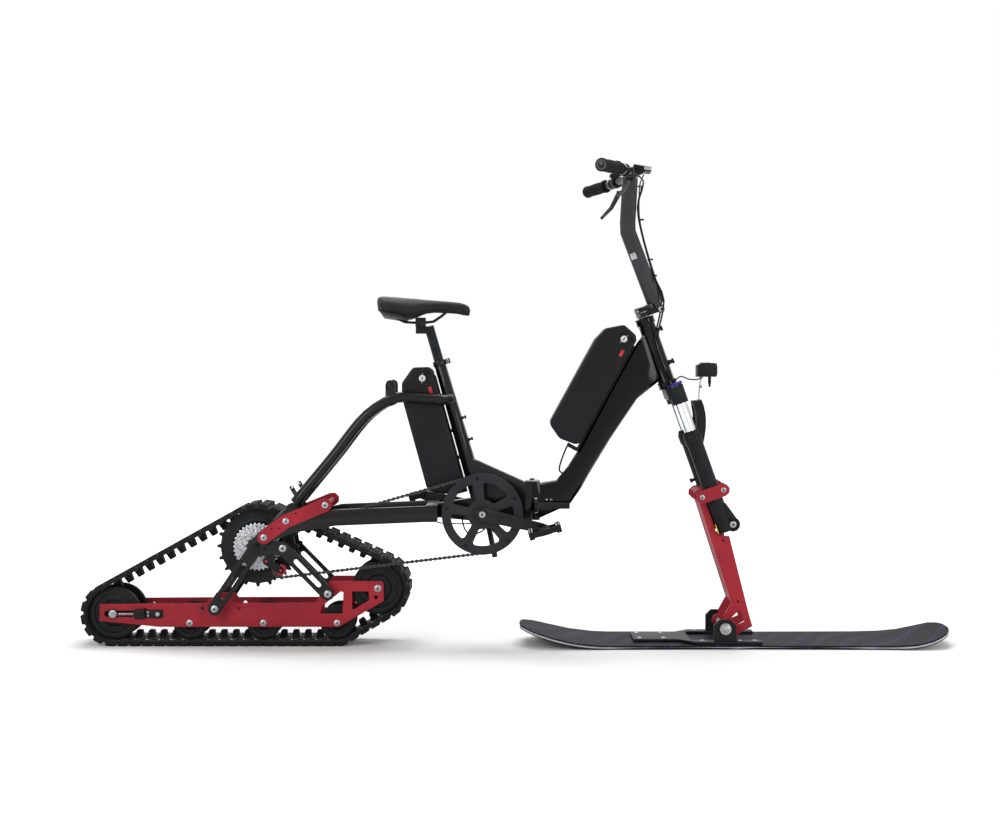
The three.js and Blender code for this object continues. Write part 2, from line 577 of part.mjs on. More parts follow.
const hingeKnuckle = (front, z0, z1) => {
  const x0 = front ? foldHinge.x + fit : hingeRear;
  const x1 = front ? foldHinge.x + fit + foldHinge.plate : foldHinge.x - fit;
  return join(
    rod([foldHinge.x, foldHinge.pinY, z0], [foldHinge.x, foldHinge.pinY, z1], foldHinge.knuckle),
    block(x0, x1, foldHinge.half - overrun, foldHinge.pinY, z0, z1),
  );
};
const hingePin = rod(
  [foldHinge.x, foldHinge.pinY, foldHinge.lowZ], [foldHinge.x, foldHinge.pinY, foldHinge.highZ],
  foldHinge.pinRadius, facets.bolt,
);
const crossLug = seatPoint(0, seatTube.length - seatTube.lugBelow);
const postBore = rod(
  seatPoint(0, seatTube.length - seatTube.boreLength), seatPoint(0, seatTube.length + overrun),
  seatpost.radius + fit);
const spindleBore = pin(
  bottomBracket.x, bottomBracket.z, around(bottomBracket.spindleRadius),
  -bottomBracket.shellHalf - overrun, bottomBracket.shellHalf + overrun, facets.tube);
add('rear_frame', cut(
  join(
    beam,
    rod(seatPoint(0, 0), seatTop, seatTube.footRadius, facets.tube, seatTube.radius),
    pin(crossLug[0], crossLug[2], arch.radius, -seatTube.lugReach, seatTube.lugReach, facets.tube),
    pin(bottomBracket.x, bottomBracket.z, bottomBracket.shellRadius, -bottomBracket.shellHalf,
      bottomBracket.shellHalf, facets.tube),
    block(hingeRear, foldHinge.x - fit, -foldHinge.half, foldHinge.half, foldHinge.lowZ, foldHinge.highZ),
    hingeKnuckle(false, knuckleLow, knuckleHigh), hingePin,
    rod([stand.topX, 0, bottomBracket.z], [stand.footX, 0, stand.footZ], stand.radius, facets.bolt),
  ),
  postBore, spindleBore,
), finish.frame);

// Chainstays: a yoke behind the crank, two deep stays outside the belt and the dropout plates

const stayShares = [
  [stay.yokeRearX, stay.frontLowZ], [stay.yokeFrontX, stay.frontLowZ], [stay.yokeFrontX, stay.frontTopZ],
  [stay.kneeX, stay.kneeTopZ], [stay.toeX, stay.toeTopZ], [stay.toeX, stay.toeLowZ], [stay.kneeX, stay.kneeLowZ],
];
const stayBolts = [[torqueArm.lowX, torqueArm.lowZ], [torqueArm.midX, torqueArm.midZ]]
  .map(([x, z]) => [hub.x + x, hub.z + z]);
function chainstay(side) {
  const toe = [stay.toeX, (stay.toeTopZ + stay.toeLowZ) / 2];
  const knee = [(stay.kneeX + stay.toeX) / 2, toe[1] + (stay.kneeTopZ - stay.toeTopZ) / 2];
  const axlePlate = [
    link([hub.x, hub.z], stayBolts[0], 2 * dropout.eye), link(stayBolts[0], toe, stay.toeTopZ - stay.toeLowZ),
    link(toe, knee, stay.toeTopZ - stay.toeLowZ), link(toe, [stay.lugX, stay.lugZ], stay.lugWidth),
    link([hub.x, hub.z], [
      hub.x + (stay.lugX - hub.x) * stay.braceEndShare, hub.z + (stay.lugZ - hub.z) * stay.braceEndShare,
    ], stay.lugWidth * stay.braceShare),
  ].map((outline) => sideSlab(side, outline, dropout.inner, dropoutOuter));
  return join(sideSlab(side, stayShares, stay.inner, dropoutOuter), ...axlePlate);
}
const axleHole = pin(hub.x, hub.z, around(hub.axleRadius), -nutY - overrun, nutY + overrun, facets.tube);
add('chainstays', cut(
  join(
    chainstay(right), chainstay(left),
    block(stay.yokeRearX, stay.yokeFrontX, -dropoutOuter, dropoutOuter, stay.frontLowZ, stay.frontTopZ),
  ),
  axleHole,
), finish.frame);

// Seatstays: bent tubes from the cross lug round the battery down to the dropout lugs, with small tabs

function seatstay(side, name) {
  const start = [crossLug[0], side * (seatTube.lugReach + fit), crossLug[2]];
  const end = [stay.lugX + arch.radius / 2, side * arch.endSide, stay.lugZ + arch.radius];
  const route = [
    start, [start[0], side * (seatTube.lugReach + arch.radius / 3), start[2]],
    [start[0] - arch.radius, side * arch.side, crossLug[2]],
    [(start[0] + arch.bendX) / 2, side * arch.side, (crossLug[2] + arch.bendZ) / 2],
    [arch.bendX, side * arch.side, arch.bendZ], [arch.kneeX, side * (arch.side + arch.radius / 3), arch.kneeZ],
    [(arch.kneeX + end[0]) / 2, side * (arch.side + arch.endSide) / 2, (arch.kneeZ + end[2]) / 2], end,
  ];
  const tab = (from, tip, y, width) => cut(
    sideSlab(side, link(from, tip, width), y - arch.tabThick / 2, y + arch.tabThick / 2),
    pin(...tip, arch.tabHole, side * (y - overrun), side * (y + overrun), facets.cable),
  );
  const slope = (arch.tabX - arch.bendX) / (arch.kneeX - arch.bendX);
  const tabFoot = arch.bendZ + (arch.kneeZ - arch.bendZ) * slope;
  add(name, join(
    roundTube(route, arch.radius, 18, 10),
    tab([arch.tabX, tabFoot], [arch.tabX, tabFoot + arch.tabRise], arch.side, arch.tabWidth),
    tab([end[0] + arch.radius / 2, end[2] + arch.radius], [arch.earX, arch.earZ], arch.endSide, arch.earWidth),
  ), finish.frame);
}
seatstay(right, 'seatstay_right');
seatstay(left, 'seatstay_left');

// Torque arms over the dropouts, tied by a cross bolt above the stays

const armY = dropoutOuter + fit;
const armOuter = armY + torqueArm.thickness;
const armTop = [hub.x + torqueArm.highX, hub.z + torqueArm.highZ];
function torqueArmPlate(side, name) {
  const bars = [link(stayBolts[0], stayBolts[1], torqueArm.width), link(stayBolts[1], armTop, torqueArm.width)]
    .map((outline) => sideSlab(side, outline, armY, armOuter));
  const tie = pin(...armTop, torqueArm.tieRadius, -armOuter, armOuter);
  const tieHole = pin(...armTop, around(torqueArm.tieRadius, facets.bolt), armY - overrun, armOuter + overrun);
  add(name, side === right ? join(...bars, tie) : cut(join(...bars), tieHole), finish.red);
}
torqueArmPlate(right, 'torque_arm_right');
torqueArmPlate(left, 'torque_arm_left');

// Seat clamp, seatpost with rails, saddle, rear dock and rear battery, all leaning with the seat tube

const clampTop = seatTube.length - fit;
const clampLow = clampTop - clampRing.height;
const clampBore = around(tubeRadiusAt(clampLow));
const clampOuter = clampBore + clampRing.wall;
add('seat_clamp', cut(
  join(
    rod([0, 0, clampLow], [0, 0, clampTop], clampOuter),
    block(clampOuter - clampRing.wall, clampRing.reach, -clampRing.earHalf, clampRing.earHalf, clampLow, clampTop),
  ),
  rod([0, 0, clampLow - overrun], [0, 0, clampTop + overrun], clampBore),
  block(0, clampRing.reach + overrun, -fit, fit, clampLow - overrun, clampTop + overrun),
  rod([clampRing.reach - clampRing.earHalf, -clampRing.reach, (clampLow + clampTop) / 2],
    [clampRing.reach - clampRing.earHalf, clampRing.reach, (clampLow + clampTop) / 2], clampRing.boltRadius,
    facets.cable),
), finish.frame, onSeatTube);

const postTop = seatPoint(0, seatTube.length + seatpost.above);
const saddleRear = postTop[0] - saddle.behind;
const saddleTop = postTop[2] + saddle.above;
const railPath = (side) => {
  const railShares = [ // along, across, below the crown
    [0.12, 1, 0.7], [0.21, 1, 0.96], [0.31, 1, 1.14], [0.42, 1, 1.15], [0.58, 1, 1.13], [0.63, 0.9, 1.04], [0.76, 0.5, 0.6],
  ];
  return railShares.map(([u, w, v]) => [
    saddleRear + u * saddle.length, side * saddle.railHalf * w,
    saddleTop - saddle.height * v - saddle.railRadius,
  ]);
};
const railMid = railPath(right)[4];
const headX = postTop[0] - seatpost.setBack;
const headLow = postTop[2] - seatpost.headHeight;
const stackLow = railMid[2] - seatpost.stackHeight / 2;
const stackHalf = saddle.railHalf + saddle.railRadius * 2;
add('seatpost', join(
  rod(seatPoint(0, seatTube.length - seatpost.insert), postTop, seatpost.radius),
  block(headX - seatpost.stackDepth / 2, postTop[0], -seatpost.headHalf, seatpost.headHalf, headLow, postTop[2]),
  block(headX - seatpost.stackDepth / 2, headX + seatpost.stackDepth / 2, -stackHalf, stackHalf,
    stackLow, stackLow + seatpost.stackHeight),
  roundTube(railPath(right), saddle.railRadius, 7, facets.hole),
  roundTube(railPath(left), saddle.railRadius, 7, facets.hole),
), finish.plastic);

const saddleShares = [ // along, half width, crown, underside
  [0, 0.3, 0.9, 0.62], [0.015, 0.68, 0.99, 0.38], [0.07, 0.93, 1, 0.24], [0.16, 1, 0.97, 0.2], [0.25, 0.93, 0.935, 0.12],
  [0.3, 0.86, 0.915, 0], [0.34, 0.78, 0.895, -0.03], [0.4, 0.66, 0.87, 0.05], [0.47, 0.52, 0.85, 0.145],
  [0.53, 0.43, 0.83, 0.2], [0.62, 0.34, 0.81, 0.235], [0.78, 0.27, 0.765, 0.235], [0.86, 0.26, 0.745, 0.23],
  [0.94, 0.24, 0.68, 0.18], [0.985, 0.19, 0.58, 0.16], [1, 0.1, 0.42, 0.22],
];
const saddleRings = saddleShares.map(([u, w, top, under]) => {
  const x = saddleRear + u * saddle.length;
  const [half, low] = [w * saddle.halfWidth, saddleTop - saddle.height];
  const [high, base] = [low + top * saddle.height, low + under * saddle.height];
  const rise = high - base;
  const crownShares = [[0, 1], [0.4, 0.97], [0.75, 0.86], [0.95, 0.6], [1, 0.28], [0.93, 0.04]];
  const leftSide = crownShares.map(([a, b]) => [x, half * a, base + rise * b]);
  const rightSide = crownShares.slice(1).reverse().map(([a, b]) => [x, -half * a, base + rise * b]);
  return [...leftSide, ...rightSide];
});
const railClear = (side) => roundTube(railPath(side), saddle.railRadius + fit, 7, facets.hole);
add('saddle', cut(loft(saddleRings), railClear(right), railClear(left)), finish.cover);

const batteryShares = [
  [0, 0.08], [0.44, 0], [1, 0.022], [1, 0.94], [0.93, 0.966], [0.8, 0.986], [0.5, 1], [0.14, 0.895], [0.04, 0.855],
  [0, 0.8],
];
const dockInner = tubeRadiusAt(clampLow) - clampOuter - fit;
const batteryFace = dockInner - dock.thickness - fit;
const batteryCase = (low) => join(
  slab(spread(batteryShares, batteryFace - battery.depth, low, battery.depth, battery.height),
    -battery.half, battery.half),
  pin(batteryFace - battery.depth / 2, low + battery.height * 0.91, battery.lockRadius,
    -battery.half - battery.lockOut, -battery.half, facets.tube),
);
const dockPlate = (low, footShares) => {
  const [outer, inner] = [dockInner - dock.thickness, dockInner];
  const base = low - fit - dock.foot;
  return join(
    block(outer, inner, -dock.half, dock.half, base, low + battery.height * dock.riseShare),
    block(outer - dock.shelf, inner, -dock.half, dock.half, base, base + dock.foot),
    ...footShares.map((share) => block(inner - dock.thickness / 2, -fit, -dock.footHalf, dock.footHalf,
      low + battery.height * share, low + battery.height * share + dock.foot)),
  );
};
const seatTaper = THREE.MathUtils.radToDeg(Math.atan2(seatTube.footRadius - seatTube.radius, seatTube.length));
const tubeBack = seatPoint(-seatTube.footRadius, 0);
const behindSeatTube = leaning(tubeBack[0], tubeBack[2], seatTaper - seatTube.lean);
add('rear_battery', batteryCase(battery.rearLow), finish.shell, behindSeatTube);
add('rear_dock', dockPlate(battery.rearLow, [0.226, 0.44]), finish.plastic, behindSeatTube);

// Cranks and pedals

const crankAngle = radians(crank.angle);
const crankEnd = (side) => [
  bottomBracket.x - side * crank.length * Math.cos(crankAngle),
  bottomBracket.z - side * crank.length * Math.sin(crankAngle),
];
const crankY = [crank.planeY, crank.planeY + crank.thickness];
const spindleEnd = crank.hubInner + crank.thickness;
function crankArm(side) {
  const [x1, z1] = crankEnd(side);
  const flank = [0, 0.35, 0.6, 1].map((t, i) => {
    const x = bottomBracket.x + (x1 - bottomBracket.x) * t;
    const z = bottomBracket.z + (z1 - bottomBracket.z) * t;
    const half = crank.hubRadius + (crank.tipRadius - crank.hubRadius) * t;
    const inner = i < 2 ? crank.hubInner : crankY[0];
    const outer = inner + crank.thickness;
    const [nx, nz] = [-(z1 - bottomBracket.z) / crank.length, (x1 - bottomBracket.x) / crank.length];
    const corner = (s, y) => [x + s * half * nx, side * y, z + s * half * nz];
    return [corner(-1, inner), corner(1, inner), corner(1, outer), corner(-1, outer)];
  });
  return join(
    loft(flank), pin(x1, z1, crank.tipRadius, side * crankY[0], side * crankY[1], facets.tube),
    pin(bottomBracket.x, bottomBracket.z, crank.hubRadius, side * crank.hubInner, side * spindleEnd, facets.tube),
  );
}
const pedalHole = (side) => {
  const [x, z] = crankEnd(side);
  return pin(x, z, around(pedal.spindle, facets.bolt), side * (crankY[0] - overrun), side * (crankY[1] + overrun));
};
add('crank_right', cut(join(
  crankArm(right),
  pin(bottomBracket.x, bottomBracket.z, bottomBracket.spindleRadius, -spindleEnd, crank.hubInner - fit, facets.tube),
), pedalHole(right)), finish.frame);
add('crank_left', cut(crankArm(left), pedalHole(left)), finish.frame);

function makePedal(side, name) {
  const [x, z] = crankEnd(side);
  const inner = crankY[1] + pedal.start;
  const outer = inner + pedal.depth;
  const half = [pedal.length / 2, pedal.height / 2];
  const box = (x0, x1, y0, y1, h) => block(x0, x1, side * y0, side * y1, -h, h);
  const body = join(
    rod([0, side * crankY[0], 0], [0, side * outer, 0], pedal.spindle, facets.bolt),
    box(-half[0], half[0], inner, inner + pedal.rail, half[1] * 0.7),
    box(-half[0], half[0], outer - pedal.rail, outer, half[1] * 0.7),
    box(-half[0], pedal.bar - half[0], inner, outer, half[1]),
    box(half[0] - pedal.bar, half[0], inner, outer, half[1]),
    box(-pedal.bar, pedal.bar, inner, outer, half[1] * 0.8),
  );
  const group = new THREE.Group();
  group.position.set(x, 0, z);
  group.rotation.y = radians(pedal.tilt);
  bike.add(group);
  add(name, body, finish.plastic, group);
}
makePedal(right, 'pedal_right');
makePedal(left, 'pedal_left');

// Chainring with its five-spoke guard

const ringStep = Math.PI / 18;
const chainRun = loopPath([
  { x: hub.x, z: hub.z, r: chain.cogPitch },
  { x: pulleys.upperX, z: pulleys.upperZ, r: -pulleys.upperPitch },
  { x: pulleys.lowerX, z: pulleys.lowerZ, r: pulleys.lowerPitch },
  { x: bottomBracket.x, z: bottomBracket.z, r: ring.pitch },
]);
const inChain = (pitch) => (pitch - chain.halfHeight) * Math.cos(ringStep / 2) - fit;
const spokes = 5;
const guardWindow = (i) => {
  const a0 = (i / spokes) * turn + ring.spoke / 2 / ring.core;
  const a1 = ((i + 1) / spokes) * turn - ring.spoke / 2 / ring.core;
  const b0 = (i / spokes) * turn + ring.spoke / 2 / ring.guardInner;
  const b1 = ((i + 1) / spokes) * turn - ring.spoke / 2 / ring.guardInner;
  const at = (r, a) => [bottomBracket.x + r * Math.cos(a), bottomBracket.z + r * Math.sin(a)];
  const rim = range(4, (k) => at(ring.guardInner, b0 + ((b1 - b0) * k) / 3));
  return [...rim, at(ring.core, a1), at(ring.core, (a0 + a1) / 2), at(ring.core, a0)];
};
const ringWindows = range(spokes, guardWindow);
const guardOuter = ring.guardY + ring.guardThick;
add('chainring', cut(
  join(
    slab(circle(bottomBracket.x, bottomBracket.z, inChain(ring.pitch), 30), -guardOuter,
      -chain.planeY + ring.thickness / 2, [circle(bottomBracket.x, bottomBracket.z, ring.guardInner, 18)]),
    slab(circle(bottomBracket.x, bottomBracket.z, ring.guard, 30), -guardOuter, -ring.guardY, ringWindows),
    pin(bottomBracket.x, bottomBracket.z, ring.core, -guardOuter, -chain.planeY, 12),
  ),
  pin(bottomBracket.x, bottomBracket.z, around(bottomBracket.spindleRadius), -guardOuter - overrun,
    overrun - chain.planeY, facets.tube),
), finish.plastic);

// Chain: one closed band through cog, pulleys and chainring

const chainStations = [];
for (const part of chainRun.parts) {
  const count = part.c ? Math.ceil(Math.abs(part.sweep) / (Math.abs(part.c.r) > ring.core ? ringStep : 2 * ringStep)) : 1;
  for (let i = 0; i < count; i += 1) chainStations.push(part.start + (part.length * i) / count);
}
const chainSide = (offset) => chainStations.map((s) => chainRun.at(s, offset));
add('chain', slab(
  chainSide(chain.halfHeight), -chain.planeY - chain.halfWidth, -chain.planeY + chain.halfWidth,
  [chainSide(-chain.halfHeight)],
), finish.steel);

// Cassette, derailleur and pulleys

const cogProfile = [];
const cogBore = hub.axleRadius + fit;
const smallest = (chain.cogPitch - chain.halfHeight) * Math.cos(ringStep) - fit;
const cogs = Math.floor((chain.planeY - chain.halfWidth - fit - cassette.inner) / cassette.step);
cogProfile.push([cogBore, -cassette.inner]);
range(cogs, (i) => {
  const radius = cassette.largest + ((chain.cogPitch - cassette.largest) * i) / cogs;
  const y = cassette.inner + i * cassette.step;
  cogProfile.push([radius, -y], [radius, -y - cassette.thickness]);
  if (i + 1 < cogs) cogProfile.push([cassette.body, -y - cassette.thickness], [cassette.body, -y - cassette.step]);
});
const lastCog = cassette.inner + (cogs - 1) * cassette.step + cassette.thickness;
cogProfile.push([cassette.body, -lastCog], [cassette.body, -chain.planeY + ring.thickness / 2]);
cogProfile.push([smallest, -chain.planeY + ring.thickness / 2], [smallest, -chain.planeY - ring.thickness / 2]);
cogProfile.push([cassette.body - fit, -chain.planeY - ring.thickness / 2]);
cogProfile.push([cassette.body - fit, -cage.plane + fit * 2], [cogBore, -cage.plane + fit * 2]);
add('cassette', turned(hub.x, hub.z, cogProfile, 16), finish.bright);

const pulleyPlaces = [
  ['pulley_upper', pulleys.upperX, pulleys.upperZ, pulleys.upperPitch],
  ['pulley_lower', pulleys.lowerX, pulleys.lowerZ, pulleys.lowerPitch],
];
for (const [name, x, z, pitch] of pulleyPlaces) {
  const radius = (pitch - chain.halfHeight) * Math.cos(ringStep) - fit;
  const half = pulleys.thickness / 2;
  const toothCount = Math.round((pitch * turn) / (chain.cogPitch / 2));
  add(name, slab(circle(x, z, radius, Math.max(toothCount, 10)), -chain.planeY - half, -chain.planeY + half,
    [circle(x, z, around(pulleys.pin, facets.cable), facets.cable)]), finish.red);
}
const cageOuter = cage.plane + cage.thickness;
const pulleyPin = ([, x, z]) => join(
  pin(x, z, pulleys.pin, -cageOuter, -chain.planeY + chain.halfWidth + fit, facets.cable),
);
add('derailleur', cut(join(
  ...[[[hub.x, hub.z], [cage.capX, cage.capZ]], [[cage.capX, cage.capZ], [pulleys.upperX, pulleys.upperZ]],
    [[pulleys.upperX, pulleys.upperZ], [pulleys.lowerX, pulleys.lowerZ]]]
    .map(([a, b]) => slab(link(a, b, cage.width), -cageOuter, -cage.plane)),
  ...pulleyPlaces.map(pulleyPin),
), pin(hub.x, hub.z, around(hub.axleRadius), -cageOuter - overrun, overrun - cage.plane, facets.tube)), finish.castIron);

// Front frame: curved down tube, head tube with cups and the front hinge plate

const hingeFront = foldHinge.x + fit + foldHinge.plate;
const headBottom = steerPoint(0, 0);
const headTopPoint = steerPoint(0, headTube.length);
const upperShares = [
  [0, 0.152], [0.137, 0.197], [0.24, 0.27], [0.33, 0.357], [0.578, 0.632], [0.812, 0.888], [0.867, 0.932],
];
const lowerShares = [
  [0, 0.008], [0.25, 0.077], [0.34, 0.155], [0.41, 0.23], [0.586, 0.405], [0.812, 0.608], [1, 0.7],
];
const reach = headBottom[0] - hingeFront - headTube.radius;
const climb = headTopPoint[2] - foldHinge.lowZ;
const tubeLine = (shares) => shares.map(([u, v]) => [
  hingeFront + u * reach,
  foldHinge.lowZ + v * climb,
]);
const [upperLine, lowerLine] = [tubeLine(upperShares), tubeLine(lowerShares)];
upperLine[0][1] = foldHinge.highZ - overrun;
const steererBore = rod(
  steerPoint(0, -headTube.cupHeight - overrun), steerPoint(0, headTube.length + headTube.cupHeight + overrun),
  around(headTube.bore - fit));
add('front_frame', cut(
  join(
    loft(upperLine.map((upper, i) => octagon(upper, lowerLine[i], downTube.half, downTube.chamfer))),
    rod(steerPoint(0, 0), steerPoint(0, headTube.length), headTube.radius),
    rod(steerPoint(0, -headTube.cupHeight), steerPoint(0, headTube.cupHeight), headTube.cup),
    rod(steerPoint(0, headTube.length - headTube.cupHeight), steerPoint(0, headTube.length + headTube.cupHeight),
      headTube.cup),
    block(foldHinge.x + fit, hingeFront, -foldHinge.half, foldHinge.half, foldHinge.lowZ, foldHinge.highZ),
    hingeKnuckle(true, foldHinge.lowZ, knuckleLow - fit), hingeKnuckle(true, knuckleHigh + fit, foldHinge.highZ),
  ),
  steererBore,
  rod([foldHinge.x, foldHinge.pinY, foldHinge.lowZ - overrun], [foldHinge.x, foldHinge.pinY, foldHinge.highZ + overrun],
    around(foldHinge.pinRadius, facets.bolt), facets.bolt),
), finish.frame);

// Latch lever along the near side of the hinge

const latchY = -foldHinge.half - latch.boss - fit;
add('frame_latch', join(
  rod([latch.pivotX, latchY, latch.z - latch.height], [latch.pivotX, latchY, latch.z + latch.height], latch.boss),
  block(latch.pivotX, latch.pivotX + latch.length, latchY - latch.thickness, latchY,
    latch.z - latch.height / 2, latch.z + latch.height / 2),
), finish.frame);

// Front dock and battery along the down tube

const tubeKnee = upperLine[3];
const tubeTop = upperLine[upperLine.length - 2];
const tubeLean = THREE.MathUtils.radToDeg(Math.atan2(tubeTop[0] - tubeKnee[0], tubeTop[1] - tubeKnee[1]));
const onDownTube = leaning(tubeKnee[0], tubeKnee[1], tubeLean);
add('front_battery', batteryCase(0), finish.shell, onDownTube);
add('front_dock', dockPlate(0, [0.03, 0.86]), finish.plastic, onDownTube);

// Fork crown with steerer, chrome stanchions with caps

add('fork_crown', cut(
  join(
    rod([0, 0, fork.crownLow / 2], [0, 0, stemBase.low + stemBase.height - steerer.below], steerer.radius),
    slab([[fork.bridgeRear, fork.crownTop], [fork.bridgeFront, fork.crownTop], [fork.bridgeFront, fork.crownLow * 0.7],
      [fork.bridgeRear, fork.crownLow * 0.7]], -fork.legSide, fork.legSide),
    ...[right, left].map((side) => rod([fork.legAhead, side * fork.legSide, fork.crownLow],
      [fork.legAhead, side * fork.legSide, fork.crownTop], fork.crownRadius)),
  ),
  ...[right, left].map((side) => rod([fork.legAhead, side * fork.legSide, fork.crownLow - overrun],
    [fork.legAhead, side * fork.legSide, fork.crownTop + overrun], fork.stanchion + fit)),
), finish.plastic, onSteering);
for (const [side, name] of [[right, 'stanchion_right'], [left, 'stanchion_left']]) {
  add(name, join(
    rod([fork.legAhead, side * fork.legSide, fork.stanchionEnd],
      [fork.legAhead, side * fork.legSide, fork.crownTop + fit + fork.capHeight / 2], fork.stanchion),
    rod([fork.legAhead, side * fork.legSide, fork.crownTop + fit],
      [fork.legAhead, side * fork.legSide, fork.crownTop + fit + fork.capHeight], fork.crownRadius - fork.capHeight / 2),
  ), finish.bright, onSteering);
}

// Fork lowers: two legs, a tall arch ahead of them and the axle bosses

const archShares = [[0, 0], [0.62, 0.42], [0.95, 0.78], [1, 1]];
const archPath = [
  ...archShares.map(([u, v]) => [
    fork.legAhead + u * (fork.archAhead - fork.legAhead), -fork.legSide * (1 - u * u * 0.55),
    fork.archFoot + v * (fork.archAlong - fork.archFoot)]),
  ...archShares.slice().reverse().map(([u, v]) => [
    fork.legAhead + u * (fork.archAhead - fork.legAhead), fork.legSide * (1 - u * u * 0.55),
    fork.archFoot + v * (fork.archAlong - fork.archFoot)]),
];
const archSection = [
  [-fork.archDepth / 2, -fork.archWidth / 2], [fork.archDepth / 2, -fork.archWidth / 2],
  [fork.archDepth / 2, fork.archWidth / 2], [-fork.archDepth / 2, fork.archWidth / 2],
];
add('fork_lowers', cut(
  join(
    ...[right, left].map((side) => join(
      rod([fork.legAhead, side * fork.legSide, fork.lowerTop], [fork.legAhead, side * fork.legSide, fork.taperTop],
        fork.lowerRadius),
      rod([fork.legAhead, side * fork.legSide, fork.taperTop], [fork.legAhead, side * fork.legSide, fork.lowerEnd],
        fork.lowerRadius, facets.tube, fork.lowerFoot),
      sideSlab(side, link([fork.legAhead, fork.bossAlong + fork.bossRadius], [fork.bossAhead, fork.bossAlong],
        2 * fork.bossRadius), fork.legSide - fork.bossHalf, fork.legSide + fork.bossHalf),
      pin(fork.bossAhead, fork.bossAlong, fork.bossRadius / 2, side * (fork.legSide + fork.bossHalf),
        side * (fork.legSide + fork.bossHalf * 1.6)),
    )),
    swept(archPath, archSection, 16),
  ),
  ...[right, left].map((side) => rod([fork.legAhead, side * fork.legSide, fork.boreEnd],
    [fork.legAhead, side * fork.legSide, fork.lowerTop + overrun * 4], fork.stanchion + fit)),
), finish.plastic, onSteering);

// Headlight on a silver strip

const lampLow = lamp.z - lamp.height / 2;
const stripTop = [lamp.pivotX, lampLow - lamp.knuckle / 2];
const stripBend = [lamp.footX + lamp.stripThick * 2, (lamp.footZ + lamp.z) / 2];
add('lamp_bracket', join(
  slab([
    [lamp.footX, lamp.footZ], [lamp.footX + lamp.stripThick, lamp.footZ], stripBend,
    [stripTop[0] + lamp.stripThick / 2, stripTop[1]], [stripTop[0] - lamp.stripThick / 2, stripTop[1]],
    [stripBend[0] - lamp.stripThick, stripBend[1]],
  ], -lamp.strip / 2, lamp.strip / 2),
  pin(lamp.pivotX, lampLow, lamp.knuckle, -lamp.strip / 2, lamp.strip / 2, facets.wheel),
), finish.steel);
add('headlight', cut(
  slab([
    [lamp.x - lamp.length / 2, lampLow], [lamp.x + lamp.length / 2, lampLow],
    [lamp.x + lamp.length / 2, lamp.z + lamp.height * 0.36], [lamp.x + lamp.length * 0.4, lamp.z + lamp.height / 2],
    [lamp.x - lamp.length * 0.3, lamp.z + lamp.height * 0.46], [lamp.x - lamp.length / 2, lamp.z + lamp.height * 0.32],
  ], -lamp.half, lamp.half),
  pin(lamp.pivotX, lampLow, around(lamp.knuckle, facets.wheel), -lamp.strip / 2 - fit, lamp.strip / 2 + fit, facets.wheel),
), finish.plastic);

// Stem base on the steerer, folding handlepost, handlebar with grips and brake perches, levers, display

const baseTop = stemBase.low + stemBase.height;
const pinAlong = baseTop - stemBase.upperFall;
const knuckleRear = stemBase.pinAhead - 2 * stemBase.knuckle;
const upperLow = stemBase.low + stemBase.plate + stemBase.gap;
add('stem_base', cut(
  join(
    block(stemBase.rear, stemBase.front, -stemBase.half, stemBase.half, stemBase.low, stemBase.low + stemBase.plate),
    rod([0, 0, stemBase.low], [0, 0, baseTop], stemBase.ring, facets.wheel),
    block(stemBase.rear, knuckleRear, -stemBase.half, stemBase.half, upperLow, baseTop),
    block(0, stemBase.pinAhead, -stemBase.knuckleHalf, stemBase.knuckleHalf, pinAlong - stemBase.knuckle / 2, baseTop),
    pin(stemBase.pinAhead, pinAlong, stemBase.knuckle, -stemBase.knuckleHalf, stemBase.knuckleHalf, 16),
    pin(stemBase.pinAhead, pinAlong, stemBase.pinRadius, -stemBase.half, stemBase.half),
  ),
  rod([0, 0, stemBase.low - overrun], [0, 0, baseTop + overrun], steerer.radius + fit),
), finish.frame, onSteering);

const postFoot = [1, -1].map((s) => {
  const [x, , z] = steerPoint(post.footAhead + (s * post.depth) / 2, baseTop + fit);
  return [x, z];
});
const postCross = ([x, z], lean) => [1, -1].map((s) => [
  x + (s * post.depth * Math.cos(lean)) / 2, z - (s * post.depth * Math.sin(lean)) / 2]);
const footMid = [(postFoot[0][0] + postFoot[1][0]) / 2, (postFoot[0][1] + postFoot[1][1]) / 2];
const postBend = [bar.x - post.bendBack, footMid[1] + (bar.z - footMid[1]) * post.bendRiseShare];
const lowLean = Math.atan2(postBend[0] - footMid[0], postBend[1] - footMid[1]);
const barLow = [bar.x, bar.z - post.topBelow];
const highLean = Math.atan2(barLow[0] - postBend[0], barLow[1] - postBend[1]);
const bendMix = (from, t) => [postBend[0] + (from[0] - postBend[0]) * t, postBend[1] + (from[1] - postBend[1]) * t];
const bendShare = 0.14;
const postSections = [
  postFoot, postCross(bendMix(footMid, bendShare), lowLean),
  postCross(bendMix(footMid, bendShare / 5), (lowLean * 2 + highLean) / 3),
  postCross(bendMix(barLow, bendShare), (lowLean + highLean * 5) / 6), postCross(barLow, highLean),
];
const pinPoint = steerPoint(stemBase.pinAhead, pinAlong);
const earTop = steerPoint(stemBase.pinAhead - stemBase.knuckle, baseTop + stemBase.knuckle * 1.5);
const earPlate = (side) => sideSlab(side,
  link([pinPoint[0], pinPoint[2]], [earTop[0], earTop[2]], stemBase.knuckle * 1.8), stemBase.knuckleHalf + fit,
  stemBase.knuckleHalf + fit + post.ear);
